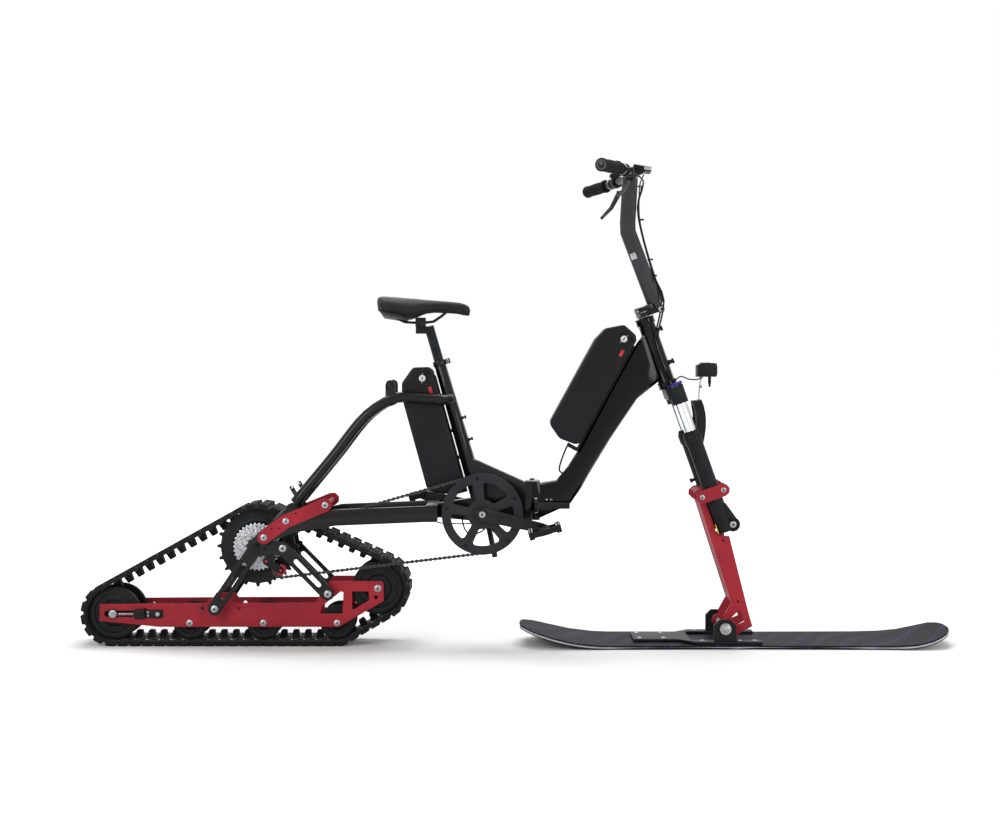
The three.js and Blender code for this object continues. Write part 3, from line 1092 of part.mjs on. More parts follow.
add('handlepost', cut(
  join(
    cut(join(
      loft(postSections.map(([front, rear]) => octagon(front, rear, post.width / 2, post.chamfer))),
      earPlate(right), earPlate(left),
    ), pin(pinPoint[0], pinPoint[2], around(stemBase.knuckle, 16), -stemBase.knuckleHalf - fit,
      stemBase.knuckleHalf + fit, 16)),
    pin(bar.x, bar.z, bar.clamp, -post.width / 2, post.width / 2, 14),
  ),
  pin(bar.x, bar.z, around(bar.radius), -post.width, post.width, facets.tube),
  pin(pinPoint[0], pinPoint[2], around(stemBase.pinRadius, facets.bolt), -post.width, post.width),
), finish.frame);

const barNodes = (side) => [
  [bar.x, side * bar.riseY, bar.z], [bar.x - bar.sweepBack, side * bar.sweepY, bar.z - bar.sweepFall],
  [bar.x - bar.endBack, side * bar.endY, bar.z - bar.endFall],
];
const along = ([x0, y0, z0], [x1, y1, z1], t) => [x0 + (x1 - x0) * t, y0 + (y1 - y0) * t, z0 + (z1 - z0) * t];
const barEndLength = Math.hypot(
  bar.endBack - bar.sweepBack, bar.endY - bar.sweepY, bar.endFall - bar.sweepFall);
const onBarEnd = (side, distance) => along(barNodes(side)[2], barNodes(side)[1], distance / barEndLength);
const perchAt = (side) => along(barNodes(side)[0], barNodes(side)[1], bar.perchShare);
const leverPivot = (side) => [perchAt(side)[0] + lever.ahead, perchAt(side)[1], perchAt(side)[2] - lever.below];
const barSide = (side) => {
  const [inner, middle] = barNodes(side);
  const perch = perchAt(side);
  const pivot = leverPivot(side);
  const shift = (point, dx) => [point[0] + dx, point[1], point[2]];
  return join(
    rod(along(inner, middle, bar.perchShare - bar.perchWideShare), along(inner, middle, bar.perchShare + bar.perchWideShare),
      bar.perchRadius, facets.bolt),
    rod(perch, shift([pivot[0], pivot[1], perch[2]], lever.boss + fit + lever.ear / 2), lever.ear, facets.cable),
    rod(shift([pivot[0], pivot[1], perch[2] + lever.ear], lever.boss + fit + lever.ear / 2),
      shift(pivot, lever.boss + fit + lever.ear / 2), lever.ear / 2, facets.cable),
    rod(shift(pivot, -lever.boss), shift(pivot, lever.boss + fit + lever.ear), lever.pin, facets.cable),
    rod(shift(pivot, lever.boss + fit), shift(pivot, lever.boss + fit + lever.ear), lever.boss, facets.cable),
  );
};
add('handlebar', join(
  mitred([...barNodes(right).reverse(), ...barNodes(left)], bar.radius, facets.tube), barSide(right), barSide(left),
), finish.frame);
for (const [side, word] of [[right, 'right'], [left, 'left']]) {
  add(`grip_${word}`, cut(
    rod(onBarEnd(side, -fit), onBarEnd(side, bar.gripLength), bar.gripRadius),
    rod(onBarEnd(side, -overrun), onBarEnd(side, bar.gripLength + overrun), around(bar.radius)),
  ), finish.rubber);
  const pivot = leverPivot(side);
  const tip = [pivot[0] - lever.sweep, pivot[1] + side * lever.length, pivot[2] - lever.drop];
  const bladeShares = [[0, 0, 1], [0.45, 0.62, 0.8], [1, 1, 0.6]];
  const blade = bladeShares.map(([t, fall, wide]) => {
    const [x, y, z] = [pivot[0] - lever.sweep * t, pivot[1] + side * lever.length * t, pivot[2] - lever.drop * fall];
    const [w, h] = [(lever.width / 2) * wide, (lever.thickness / 2) * wide];
    return [[x - w, y, z - h], [x + w, y, z - h], [x + w, y, z + h], [x - w, y, z + h]];
  });
  const ball = new THREE.SphereGeometry(lever.thickness * 0.7, facets.cable, facets.hole);
  ball.translate(...tip);
  const boss = (radius, over) => rod([pivot[0] - lever.boss - over, pivot[1], pivot[2]],
    [pivot[0] + lever.boss + over, pivot[1], pivot[2]], radius, facets.tube);
  add(`brake_lever_${word}`, cut(join(boss(lever.boss, 0), loft(blade), toSolid(ball)), boss(around(lever.pin), overrun)),
    finish.steel);
}

// Display in a pair of rings ahead of the clamp

const displayMid = [bar.x + display.ahead, bar.z + display.above];
const displayRing = (side) => join(
  sideSlab(side, circle(bar.x, bar.z, bar.radius + display.ring, facets.tube), post.width / 2 + fit,
    post.width / 2 + fit + display.ring),
  sideSlab(side, link([bar.x, bar.z], [displayMid[0], displayMid[1] - display.thick / 2], display.ring * 2),
    post.width / 2 + fit, post.width / 2 + fit + display.ring),
);
const displayHalf = [display.depth / 2, display.thick / 2];
const tilted = leaned(...displayMid, -display.tilt);
const screen = [[-1, -1], [1, -1], [1, 1], [-1, 1]].map(([u, v]) => {
  const [x, , z] = tilted(u * displayHalf[0], v * displayHalf[1]);
  return [x, z];
});
add('display', cut(
  join(slab(screen, -display.width / 2, display.width / 2), displayRing(right), displayRing(left)),
  pin(bar.x, bar.z, around(bar.radius), -display.width, display.width, facets.tube),
  pin(bar.x, bar.z, around(bar.clamp, 14), -post.width / 2 - fit, post.width / 2 + fit, 14),
), finish.plastic);

// Ski strut: two leg clamps, twin side plates with a window and a rear web, down to the ski pivot

const clampMid = (skiStrut.clampTop + skiStrut.clampLow) / 2;
const clampHeight = skiStrut.clampTop - skiStrut.clampLow;
const legRear = fork.legAhead - fork.lowerRadius - fit;
const onStrut = (points) => points.map(([ahead, at]) => {
  const [x, , z] = steerPoint(ahead, at);
  return [x, z];
});
const strutShares = [
  [0.338, 0], [0.795, 0.022], [0.81, 0.099], [0.991, 0.643], [0.735, 0.672], [0.735, 1], [0.603, 1], [0.563, 0.665],
  [0.522, 0.221], [0.241, 0.149], [0.18, 0.06],
];
const strutWindowShares = [[0.4, 0.122], [0.44, 0.064], [0.651, 0.068], [0.66, 0.15], [0.6, 0.15]];
const onStrutBox = (shares) => onStrut(spread(
  shares, skiStrut.eyeAhead, skiStrut.footAlong, skiStrut.spanAhead, skiStrut.clampTop - skiStrut.footAlong));
const webShares = [[0.563, 0.665], [0.603, 1], [0.65, 1], [0.61, 0.665], [0.57, 0.221], [0.522, 0.221]];
const jaw = link([skiStrut.boltRear, clampMid], [skiStrut.boltFront, clampMid], clampHeight);
const jawInner = fork.legSide - fork.lowerRadius - fit;
const jawOuter = fork.legSide + fork.lowerRadius + fit;
const strutSide = (side) => join(
  sideSlab(side, onStrutBox(strutShares), skiStrut.plateSide, skiStrut.plateSide + skiStrut.plateThick,
    [onStrutBox(strutWindowShares)]),
  sideSlab(side, link([skiStrut.pivotX, skiStrut.pivotZ], [skiStrut.pivotX + skiStrut.eye, skiStrut.pivotZ],
    2 * skiStrut.eye), skiStrut.plateSide, skiStrut.plateSide + skiStrut.plateThick),
  sideSlab(side, onStrut(jaw), jawInner - skiStrut.jawThick, jawInner),
  sideSlab(side, onStrut(jaw), jawOuter, jawOuter + skiStrut.jawThick),
  ...[skiStrut.boltRear, skiStrut.boltFront].map((ahead) => {
    const [x, , z] = steerPoint(ahead, clampMid);
    return pin(x, z, skiStrut.boltRadius, side * (jawInner - skiStrut.jawThick / 2), side * (jawOuter + skiStrut.jawThick / 2));
  }),
);
const crossBar = onStrut([
  [skiStrut.boltRear - clampHeight / 4, skiStrut.clampLow], [legRear, skiStrut.clampLow],
  [legRear, skiStrut.clampTop], [skiStrut.boltRear - clampHeight / 4, skiStrut.clampTop]]);
const strutAcross = skiStrut.plateSide + skiStrut.plateThick / 2;
add('ski_strut', cut(
  join(
    strutSide(right), strutSide(left),
    slab(crossBar, -strutAcross, strutAcross), slab(onStrutBox(webShares), -strutAcross, strutAcross),
  ),
  pin(skiStrut.pivotX, skiStrut.pivotZ, around(skiStrut.pivotRadius), -skiPlate.half, skiPlate.half, facets.tube),
), finish.red);

// Ski: a thin board with rounded, turned-up ends

const boardShares = [ // along, half width, tail rise, nose rise
  [0, 0.25, 1, 0], [0.008, 0.5, 0.97, 0], [0.03, 0.78, 0.8, 0], [0.07, 0.92, 0.5, 0], [0.12, 0.95, 0.2, 0],
  [0.175, 0.94, 0.03, 0], [0.21, 0.92, 0, 0], [0.5, 0.88, 0, 0], [0.8, 0.93, 0, 0], [0.865, 0.97, 0, 0.03],
  [0.91, 1, 0, 0.15], [0.95, 0.95, 0, 0.45], [0.98, 0.76, 0, 0.8], [0.993, 0.5, 0, 0.95], [1, 0.25, 0, 1],
];
add('ski_board', loft(boardShares.map(([u, w, tail, nose]) => {
  const x = ski.rearX + u * ski.length;
  const [half, low] = [w * ski.half, tail * ski.tailRise + nose * ski.noseRise];
  const [edge, high] = [ski.thickness / 3, low + ski.thickness];
  return [
    [x, -half, low], [x, half, low], [x, half + edge, low + edge], [x, half, high], [x, -half, high],
    [x, -half - edge, low + edge],
  ];
})), finish.board);

// Base plate with a forward slot and two chamfered brackets; pivot bolt with spacers and washers

const plateSide = [
  [skiPlate.tongueX, skiPlate.tongueHalf], [skiPlate.neckX, skiPlate.tongueHalf], [skiPlate.spreadX, skiPlate.half],
  [skiPlate.frontX, skiPlate.half], [skiPlate.frontX, skiPlate.slotHalf], [skiPlate.slotX, skiPlate.slotHalf],
];
const platePlan = [...plateSide, ...plateSide.slice().reverse().map(([x, y]) => [x, -y])];
const plateLow = ski.thickness + fit;
const plateHigh = plateLow + skiPlate.thickness;
const bracketOuter = skiPlate.bracketInner + skiPlate.bracketThick;
const bracketOutline = [
  [skiPlate.bracketRear, plateHigh - skiPlate.thickness / 2], [skiPlate.bracketFront, plateHigh - skiPlate.thickness / 2],
  [skiPlate.bracketFront, skiPlate.bracketTop - skiPlate.bracketChamfer],
  [skiPlate.bracketFront - skiPlate.bracketChamfer, skiPlate.bracketTop],
  [skiPlate.bracketRear + skiPlate.bracketChamfer, skiPlate.bracketTop],
  [skiPlate.bracketRear, skiPlate.bracketTop - skiPlate.bracketChamfer],
];
add('ski_plate', cut(
  join(
    flat(platePlan, plateLow, plateHigh),
    ...[right, left].map((side) => sideSlab(side, bracketOutline, skiPlate.bracketInner, bracketOuter)),
  ),
  pin(skiStrut.pivotX, skiStrut.pivotZ, around(skiStrut.pivotRadius), -bracketOuter - overrun, bracketOuter + overrun,
    facets.tube),
), finish.plastic);
const strutFace = skiStrut.plateSide + skiStrut.plateThick + fit;
const boltEnd = bracketOuter + fit + skiPlate.washerThick;
add('pivot_bolt', join(
  pin(skiStrut.pivotX, skiStrut.pivotZ, skiStrut.pivotRadius, -boltEnd, boltEnd, facets.tube),
  ...[right, left].map((side) => join(
    pin(skiStrut.pivotX, skiStrut.pivotZ, skiPlate.spacer, side * strutFace, side * (skiPlate.bracketInner - fit),
      facets.tube),
    pin(skiStrut.pivotX, skiStrut.pivotZ, skiPlate.washer, side * (bracketOuter + fit), side * boltEnd, 14),
  )),
), finish.steel);

// Cables: two along the handlepost, the battery lead and the lamp lead

const postFront = (z) => {
  const [from, to] = z < postBend[1] ? [footMid, postBend] : [postBend, barLow];
  const x = from[0] + ((to[0] - from[0]) * (z - from[1])) / (to[1] - from[1]);
  return x + post.depth / 2 / Math.cos(lowLean) + cable.standOff;
};
function postCable(side, name) {
  const aside = side * cable.spread;
  const lowTouch = footMid[1] + (postBend[1] - footMid[1]) * 0.4;
  const head = (ahead, at) => steerPoint(ahead, at, side * cable.headSide);
  const perch = perchAt(side);
  add(name, roundTube([
    [perch[0] + lever.ahead, perch[1] - side * bar.perchRadius, perch[2]],
    [perch[0] + lever.ahead + cable.loop, perch[1] * 0.55, perch[2] - cable.loop * 0.4],
    [postFront(barLow[1]) + cable.loop * 0.2, aside * 2.6, barLow[1] - cable.loop * 0.6],
    [postFront(barLow[1] - cable.loop * 2), aside, barLow[1] - cable.loop * 2],
    [postFront(lowTouch), aside, lowTouch],
    head(stemBase.pinAhead + stemBase.knuckle + cable.standOff, baseTop), head(cable.headAhead, headTube.length * 0.7),
    head(cable.headAhead * 0.6, headTube.length * 0.4), head(cable.headAhead, fork.crownTop + cable.loop * 0.5),
  ], cable.radius, 18, facets.cable), finish.rubber);
}
postCable(right, 'brake_cable');
postCable(left, 'control_cable');

const tubePoint = leaned(tubeKnee[0], tubeKnee[1], -tubeLean);
const shelfMid = dockInner - dock.shelf;
const shelfLow = -dock.foot - fit * 2;
const [leadLow, leadHigh] = [upperLine[1], upperLine[2]];
const leadRun = Math.hypot(leadHigh[0] - leadLow[0], leadHigh[1] - leadLow[1]);
const offTube = (distance) => [
  (leadLow[0] + leadHigh[0]) / 2 - (distance * (leadHigh[1] - leadLow[1])) / leadRun, 0,
  (leadLow[1] + leadHigh[1]) / 2 + (distance * (leadHigh[0] - leadLow[0])) / leadRun];
add('battery_lead', roundTube([
  tubePoint(shelfMid, shelfLow), tubePoint(shelfMid, shelfLow - cable.loop / 4),
  offTube(cable.loop / 4), offTube(fit),
], cable.radius, 8, facets.cable), finish.rubber);
const capTop = steerPoint(fork.legAhead, fork.crownTop + fork.capHeight + cable.radius, -fork.legSide);
const lampUnder = [lamp.x - lamp.length * 0.3, 0, lampLow - cable.radius - fit];
add('lamp_lead', roundTube([
  [capTop[0] + fit * 2, capTop[1], capTop[2] + fit * 2], [capTop[0] + cable.loop / 2, capTop[1] * 0.8, capTop[2] + cable.loop * 0.4],
  [(capTop[0] + lampUnder[0]) / 2 + cable.loop * 0.2, capTop[1] * 0.4, lampUnder[2] - cable.loop * 0.1],
  [lampUnder[0] - cable.loop * 0.2, capTop[1] * 0.25, lampUnder[2]], [lampUnder[0], capTop[1] * 0.25, lampUnder[2]],
], cable.radius, 10, facets.cable), finish.rubber);

export default bike;
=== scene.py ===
# %% [markdown]
# # A folding ski bike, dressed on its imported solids
# The solids already hold the shape, the joints and the sizes. This file loads them, gives each one
# the finish of the real thing, and makes finer pieces for what a plain solid can't show: tread,
# teeth, links, bolts and a padded cover.

# %% Load the frame
import math
import bmesh
import bpy
from mathutils import Matrix, Vector


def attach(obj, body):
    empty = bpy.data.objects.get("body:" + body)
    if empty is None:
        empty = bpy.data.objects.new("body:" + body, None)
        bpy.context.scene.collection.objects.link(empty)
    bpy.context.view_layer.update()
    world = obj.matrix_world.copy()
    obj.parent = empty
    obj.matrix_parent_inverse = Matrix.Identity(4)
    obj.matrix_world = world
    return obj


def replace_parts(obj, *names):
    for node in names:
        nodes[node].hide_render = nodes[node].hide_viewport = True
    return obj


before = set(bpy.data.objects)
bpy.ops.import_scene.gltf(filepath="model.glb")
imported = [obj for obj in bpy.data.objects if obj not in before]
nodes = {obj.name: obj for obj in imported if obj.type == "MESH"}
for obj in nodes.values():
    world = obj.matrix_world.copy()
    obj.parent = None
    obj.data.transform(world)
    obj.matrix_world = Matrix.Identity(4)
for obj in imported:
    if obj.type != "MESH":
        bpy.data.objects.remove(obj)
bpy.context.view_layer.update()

# %% [markdown]
# ## Camera, floor and light
# The photograph was taken from the side, with the camera about as high as the seat and a normal
# lens. The floor is pale and wide. Only what the camera or a reflection sees gets the extra white
# that joins it to the background, so the bike's shadow stays and no light is added to the bike.

# %% Camera
scene = bpy.context.scene
scene.view_settings.view_transform = "Standard"
camera = bpy.data.objects.new("camera", bpy.data.cameras.new("camera"))
scene.collection.objects.link(camera)
camera.location = (-0.038, -4.44, 0.762)
camera.rotation_euler = (math.pi / 2, 0, 0)
camera.data.lens = 58.32
camera.data.shift_x, camera.data.shift_y = -0.002, -0.0525
scene.camera = camera
print("camera lens", camera.data.lens)


# %% Small hands for node trees
def link_nodes(tree, *pairs):
    for source, target in pairs:
        tree.links.new(source, target)


def srgb(hex_colour):
    """A screen colour as the linear numbers that shaders use."""
    parts = [int(hex_colour[i:i + 2], 16) / 255 for i in (0, 2, 4)]
    return [c / 12.92 if c < 0.04045 else ((c + 0.055) / 1.055) ** 2.4 for c in parts] + [1.0]


def mapped(tree, value, low, high, start=0.0, stop=1.0):
    """A value that runs from start to stop, turned into one from low to high and held there."""
    node = tree.nodes.new("ShaderNodeMapRange")
    ends = (("From Min", start), ("From Max", stop), ("To Min", low), ("To Max", high))
    for socket, number in ends:
        node.inputs[socket].default_value = number
    link_nodes(tree, (value, node.inputs["Value"]))
    return node.outputs[0]


def any_ray(tree, *kinds):
    """One for a ray of any of these kinds, and zero for all others."""
    path = tree.nodes.new("ShaderNodeLightPath")
    found = path.outputs[kinds[0]]
    for kind in kinds[1:]:
        either = tree.nodes.new("ShaderNodeMath")
        either.operation = "MAXIMUM"
        link_nodes(tree, (found, either.inputs[0]), (path.outputs[kind], either.inputs[1]))
        found = either.outputs[0]
    return found


# %% Floor and world
GLOW_STARTS, GLOW_FULL, FLOOR_GLOW = 0.9, 2.6, 0.75
ROOM_LIGHT, ROOM_SEEN = 0.4, 1.0


def pale_floor():
    """White paint that glows a little, away from the bike, to the camera and in reflections."""
    mat = bpy.data.materials.new("pale floor")
    mat.use_nodes = True
    tree = mat.node_tree
    tree.nodes.clear()
    out = tree.nodes.new("ShaderNodeOutputMaterial")
    add = tree.nodes.new("ShaderNodeAddShader")
    diffuse = tree.nodes.new("ShaderNodeBsdfDiffuse")
    diffuse.inputs["Color"].default_value = (0.9, 0.9, 0.9, 1)
    glow = tree.nodes.new("ShaderNodeEmission")
    place = tree.nodes.new("ShaderNodeTexCoord")
    reach = tree.nodes.new("ShaderNodeVectorMath")
    reach.operation = "LENGTH"
    lift = tree.nodes.new("ShaderNodeMath")
    lift.operation = "MULTIPLY"
    far = mapped(tree, reach.outputs["Value"], 0.0, FLOOR_GLOW, GLOW_STARTS, GLOW_FULL)
    link_nodes(tree, (place.outputs["Object"], reach.inputs[0]),
               (any_ray(tree, "Is Camera Ray", "Is Glossy Ray"), lift.inputs[0]),
               (far, lift.inputs[1]), (lift.outputs[0], glow.inputs["Strength"]),
               (diffuse.outputs[0], add.inputs[0]), (glow.outputs[0], add.inputs[1]),
               (add.outputs[0], out.inputs[0]))
    return mat


floor_mesh = bpy.data.meshes.new("floor")
floor_corners = [(-40, -40, 0), (40, -40, 0), (40, 60, 0), (-40, 60, 0)]
floor_mesh.from_pydata(floor_corners, [], [(0, 1, 2, 3)])
floor = bpy.data.objects.new("floor", floor_mesh)
floor.location.z = -0.0005
scene.collection.objects.link(floor)
floor.data.materials.append(pale_floor())

world = bpy.data.worlds.new("white room")
scene.world = world
world.use_nodes = True
sky = world.node_tree
sky_light = sky.nodes["Background"]
sky_light.inputs["Color"].default_value = (1, 1, 1, 1)
sky_seen = any_ray(sky, "Is Camera Ray", "Is Transmission Ray", "Is Glossy Ray")
link_nodes(sky, (mapped(sky, sky_seen, ROOM_LIGHT, ROOM_SEEN), sky_light.inputs["Strength"]))


# %% Lamps
def soft_box(name, place, look_at, size, power):
    lamp = bpy.data.lights.new(name, "AREA")
    lamp.shape, lamp.size, lamp.size_y, lamp.energy = "RECTANGLE", *size, power
    obj = bpy.data.objects.new(name, lamp)
    obj.location = place
    aim = Vector(look_at) - Vector(place)
    obj.rotation_euler = aim.to_track_quat("-Z", "Y").to_euler()
    scene.collection.objects.link(obj)


soft_box("overhead", (0, 0.8, 3.4), (0, 0, 0), (3.6, 1.4), 95)
soft_box("front left", (-2.6, -3.6, 2.2), (-0.2, 0, 0.5), (1.5, 2.0), 70)
soft_box("front right", (3.0, -3.2, 1.8), (0.2, 0, 0.5), (1.3, 1.8), 52)
soft_box("rim", (0.5, 3.6, 2.4), (0, 0, 0.6), (3.5, 1.2), 35)

# %% [markdown]
# ## Finishes
# Satin paint, anodised plate, rubber, steel and moulded plastic differ in three things: how the
# colour drifts, how the roughness drifts and how fine the bumps are. One helper makes them all from
# noise on Object coordinates, so a pattern stays on its piece in every view and pose.


# %% Finish helper
def new_material(name):
    mat = bpy.data.materials.new(name)
    mat.use_nodes = True
    return mat, mat.node_tree, mat.node_tree.nodes["Principled BSDF"]


def noise_on(tree, scale, detail=3.0, squeeze=(1, 1, 1)):
    place = tree.nodes.new("ShaderNodeTexCoord")
    shape = tree.nodes.new("ShaderNodeMapping")
    shape.inputs["Scale"].default_value = squeeze
    noise = tree.nodes.new("ShaderNodeTexNoise")
    noise.inputs["Scale"].default_value = scale
    noise.inputs["Detail"].default_value = detail
    link_nodes(tree, (place.outputs["Object"], shape.inputs[0]),
               (shape.outputs[0], noise.inputs["Vector"]))
    return noise.outputs[0]


def finish(name, base, drift, rough, metal=0.0, patch=25, rough_drift=0.06, bump=0.1, grain=900,
           squeeze=(1, 1, 1), coat=0.0, sheen=0.0, shine=0.14):
    """A finish: base and drift are screen colours, patch and grain the fineness of the colour's
    and the bumps' noise, squeeze stretches the bumps, and shine is a non-metal's reflection."""
    mat, tree, shader = new_material(name)
    for socket, number in (("Metallic", metal), ("Coat Weight", coat), ("Coat Roughness", 0.08),
                           ("Sheen Weight", sheen),
                           ("Specular IOR Level", 0.5 if metal > 0.5 else shine)):
        shader.inputs[socket].default_value = number
    tone = tree.nodes.new("ShaderNodeMix")
    tone.data_type = "RGBA"
    tone.inputs["A"].default_value = srgb(base)
    tone.inputs["B"].default_value = srgb(drift)
    bumps = tree.nodes.new("ShaderNodeBump")
    bumps.inputs["Strength"].default_value = bump
    bumps.inputs["Distance"].default_value = 0.0006
    large, fine = noise_on(tree, patch), noise_on(tree, grain, 2.0, squeeze)
    roughness = mapped(tree, large, rough - rough_drift, rough + rough_drift)
    link_nodes(tree, (mapped(tree, large, 0.0, 1.0, 0.35, 0.65), tone.inputs["Factor"]),
               (tone.outputs["Result"], shader.inputs["Base Color"]),
               (roughness, shader.inputs["Roughness"]), (fine, bumps.inputs["Height"]),
               (bumps.outputs[0], shader.inputs["Normal"]))
    return mat


# %% The bike's finishes
paint = finish("satin black paint", "0c0c0e", "121214", 0.3, patch=12, bump=0.04, grain=700,
               coat=0.16)
satin_grey = finish("satin grey paint", "27272a", "303033", 0.36, patch=12, bump=0.05, shine=0.3)
gloss = finish("gloss black paint", "030304", "060607", 0.14, patch=8, bump=0.02, grain=500,
               coat=0.1, shine=0.12)
cast = finish("cast black metal", "131416", "1a1b1d", 0.46, bump=0.16, grain=1400)
red = finish("red anodised plate", "a02f38", "8d2b34", 0.5, patch=9, bump=0.06, grain=1600,
             squeeze=(1, 1, 3), shine=0.05)
rubber = finish("tread rubber", "0e0f10", "18191a", 0.7, patch=30, bump=0.35, grain=500, sheen=0.04)
tyre = finish("wheel rubber", "111213", "191a1b", 0.6, patch=20, bump=0.12, grain=800)
wheel_plastic = finish("moulded wheel plastic", "141517", "1c1d1f", 0.46, patch=15, grain=1200)
plastic = finish("moulded plastic", "101113", "17181a", 0.5, patch=18, bump=0.15, grain=1800)
guard_black = finish("matt black guard", "232427", "2b2c2f", 0.55, patch=20, bump=0.12, grain=1500)
shell = finish("battery case", "121214", "17171a", 0.42, patch=10, grain=2200)
steel = finish("zinc steel", "b2b0ac", "979592", 0.3, metal=0.95, patch=60, bump=0.06)
bright = finish("chrome", "e2e4e8", "d2d5da", 0.08, metal=1.0, patch=20, bump=0.01, grain=400,
                rough_drift=0.02)
dark_steel = finish("black oxide steel", "131416", "202124", 0.4, metal=0.3, patch=50, bump=0.08,
                    grain=1000)
chain_steel = finish("oiled chain steel", "3a3937", "232220", 0.4, metal=0.6, patch=260, bump=0.08)
silver = finish("bead-blasted aluminium", "acaeb1", "8c8e92", 0.4, metal=0.9, patch=120, bump=0.12,
                grain=1500)
purple = finish("violet anodised cap", "372f83", "28246b", 0.35, metal=0.5, patch=60, bump=0.05)
grip_rubber = finish("grip rubber", "121214", "1a1a1c", 0.72, patch=60, bump=0.25)
grip_ring = finish("grey grip ring", "55555a", "454549", 0.5, patch=80)
cable_skin = finish("cable sleeve", "09090a", "101011", 0.42, patch=80, bump=0.05, grain=1200)
leather = finish("saddle cover", "161617", "1e1e20", 0.5, patch=35, bump=0.3, grain=1500,
                 sheen=0.05)
thread = finish("grey thread", "4a4a4d", "5a5a5d", 0.8, patch=200)
red_plastic = finish("red plastic", "ad1f2b", "c23640", 0.3, patch=90, bump=0.05, shine=0.3)
lock_ring = finish("pale lock ring", "dededc", "cfcfcd", 0.4, patch=120)
yellow = finish("yellow strip", "d9c514", "c7b20f", 0.45, patch=90, bump=0.03)
edge_grey = finish("pale ski edge", "b4b3b8", "a2a1a8", 0.45, patch=30, bump=0.05)
print("finishes", len(bpy.data.materials))

# %% [markdown]
# ## Dressing the solids
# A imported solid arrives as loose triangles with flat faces. It may carry modifiers but not edits,
# so a weld, a bevel and a small node tree that smooths every edge below an angle make the
# many-sided tubes read as round.

# %% Smooth by angle
TINY, SMOOTH_BELOW, BEVEL_ABOVE = 0.00001, 40, 42


def smooth_tree(limit):
    tree = bpy.data.node_groups.new("Smooth below an angle", "GeometryNodeTree")
    tree.interface.new_socket("Geometry", in_out="INPUT", socket_type="NodeSocketGeometry")
    angle = tree.interface.new_socket("Largest angle", in_out="INPUT",
                                      socket_type="NodeSocketFloat")
    angle.default_value = math.radians(limit)
    tree.interface.new_socket("Geometry", in_out="OUTPUT", socket_type="NodeSocketGeometry")
    start, end = tree.nodes.new("NodeGroupInput"), tree.nodes.new("NodeGroupOutput")
    weld = tree.nodes.new("GeometryNodeMergeByDistance")
    weld.inputs["Distance"].default_value = TINY
    edge = tree.nodes.new("GeometryNodeInputMeshEdgeAngle")
    small = tree.nodes.new("FunctionNodeCompare")
    small.data_type, small.operation = "FLOAT", "LESS_EQUAL"
    by_edge = tree.nodes.new("GeometryNodeSetShadeSmooth")
    by_edge.domain = "EDGE"
    by_face = tree.nodes.new("GeometryNodeSetShadeSmooth")
    link_nodes(tree, (start.outputs["Geometry"], weld.inputs["Geometry"]),
               (edge.outputs["Unsigned Angle"], small.inputs["A"]),
               (start.outputs["Largest angle"], small.inputs["B"]),
               (weld.outputs[0], by_edge.inputs["Geometry"]),
               (small.outputs[0], by_edge.inputs["Shade Smooth"]),
               (by_edge.outputs[0], by_face.inputs["Geometry"]),
               (by_face.outputs[0], end.inputs[0]))
    return tree


soften = smooth_tree(SMOOTH_BELOW)


def round_edges(obj, bevel):
    """Bevels sharp corners where asked, and smooths what stays below the angle."""
    if bevel:
        edge = obj.modifiers.new("rounded corners", "BEVEL")
        edge.width, edge.segments, edge.limit_method = bevel, 2, "ANGLE"
        edge.angle_limit = math.radians(BEVEL_ABOVE)
    obj.modifiers.new("smooth", "NODES").node_group = soften


def dress(material, *names, bevel=0.0):
    """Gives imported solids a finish, rounded corners where asked, and smooth round faces."""
    for name in names:
        obj = nodes[name]
        obj.data.materials.clear()
        obj.data.materials.append(material)
        if bevel:
            obj.modifiers.new("weld", "WELD").merge_threshold = TINY
        round_edges(obj, bevel)


# %% [markdown]
# ## Finishes on the solids
# Frame tubes, plates and castings keep their solids, which already have the right shape. Some
# others are dressed too, although a finer piece stands for them below, so that none is left bare.

# %% Dress them
dress(paint, "rear_frame", "chainstays", "seatstay_right", "seatstay_left", "seat_clamp",
      "crank_right", "crank_left", "frame_latch", "stem_base", "handlebar", "strut_right",
      "strut_left", bevel=0.0008)
dress(satin_grey, "handlepost", bevel=0.0015)
dress(gloss, "front_frame", bevel=0.002)
dress(cast, "drive_hub", "fork_crown", "derailleur", bevel=0.0006)
dress(cast, "rear_tensioner", "brake_lever_right", "brake_lever_left")
dress(red, "side_plate_right", "side_plate_left", "torque_arm_right", "torque_arm_left",
      "ski_strut", bevel=0.0006)
dress(shell, "rear_battery", "front_battery", bevel=0.006)
dress(plastic, "rear_dock", "front_dock", "pedal_right", "pedal_left", "fork_lowers", "display",
      "ski_plate", "headlight", bevel=0.0008)
dress(plastic, "chainring")
dress(steel, "pivot_bolt", "lamp_bracket", "cassette", "chain")
dress(dark_steel, "seatpost", "axle")
dress(bright, "stanchion_right", "stanchion_left")
dress(red_plastic, "pulley_upper", "pulley_lower")
dress(cable_skin, "brake_cable", "control_cable", "battery_lead", "lamp_lead")
dress(tyre, "rear_idler", "front_idler", "bogie_1", "bogie_2", "bogie_3", "track_belt")
dress(grip_rubber, "grip_right", "grip_left", "saddle")
print("dressed", sum(bool(o.modifiers) for o in nodes.values()), "of", len(nodes))

# %% [markdown]
# ## Hands for making pieces
# The finer pieces are made in millimetres in side view, as on the drawing, and turned into metres
# once at the end. A plate has holes, a turned body spins a profile about a line, and a skin joins
# loops of points. Each one fills a bmesh, so several shapes can share one piece.

# %% From a bmesh to a piece
MM = 0.001
TURN = 2 * math.pi
RIGHT, LEFT = -1, 1


def to_mesh(name, bm):
    bmesh.ops.recalc_face_normals(bm, faces=bm.faces)
    mesh = bpy.data.meshes.new(name)
    bm.to_mesh(mesh)
    bm.free()
    mesh.transform(Matrix.Scale(MM, 4))
    return mesh


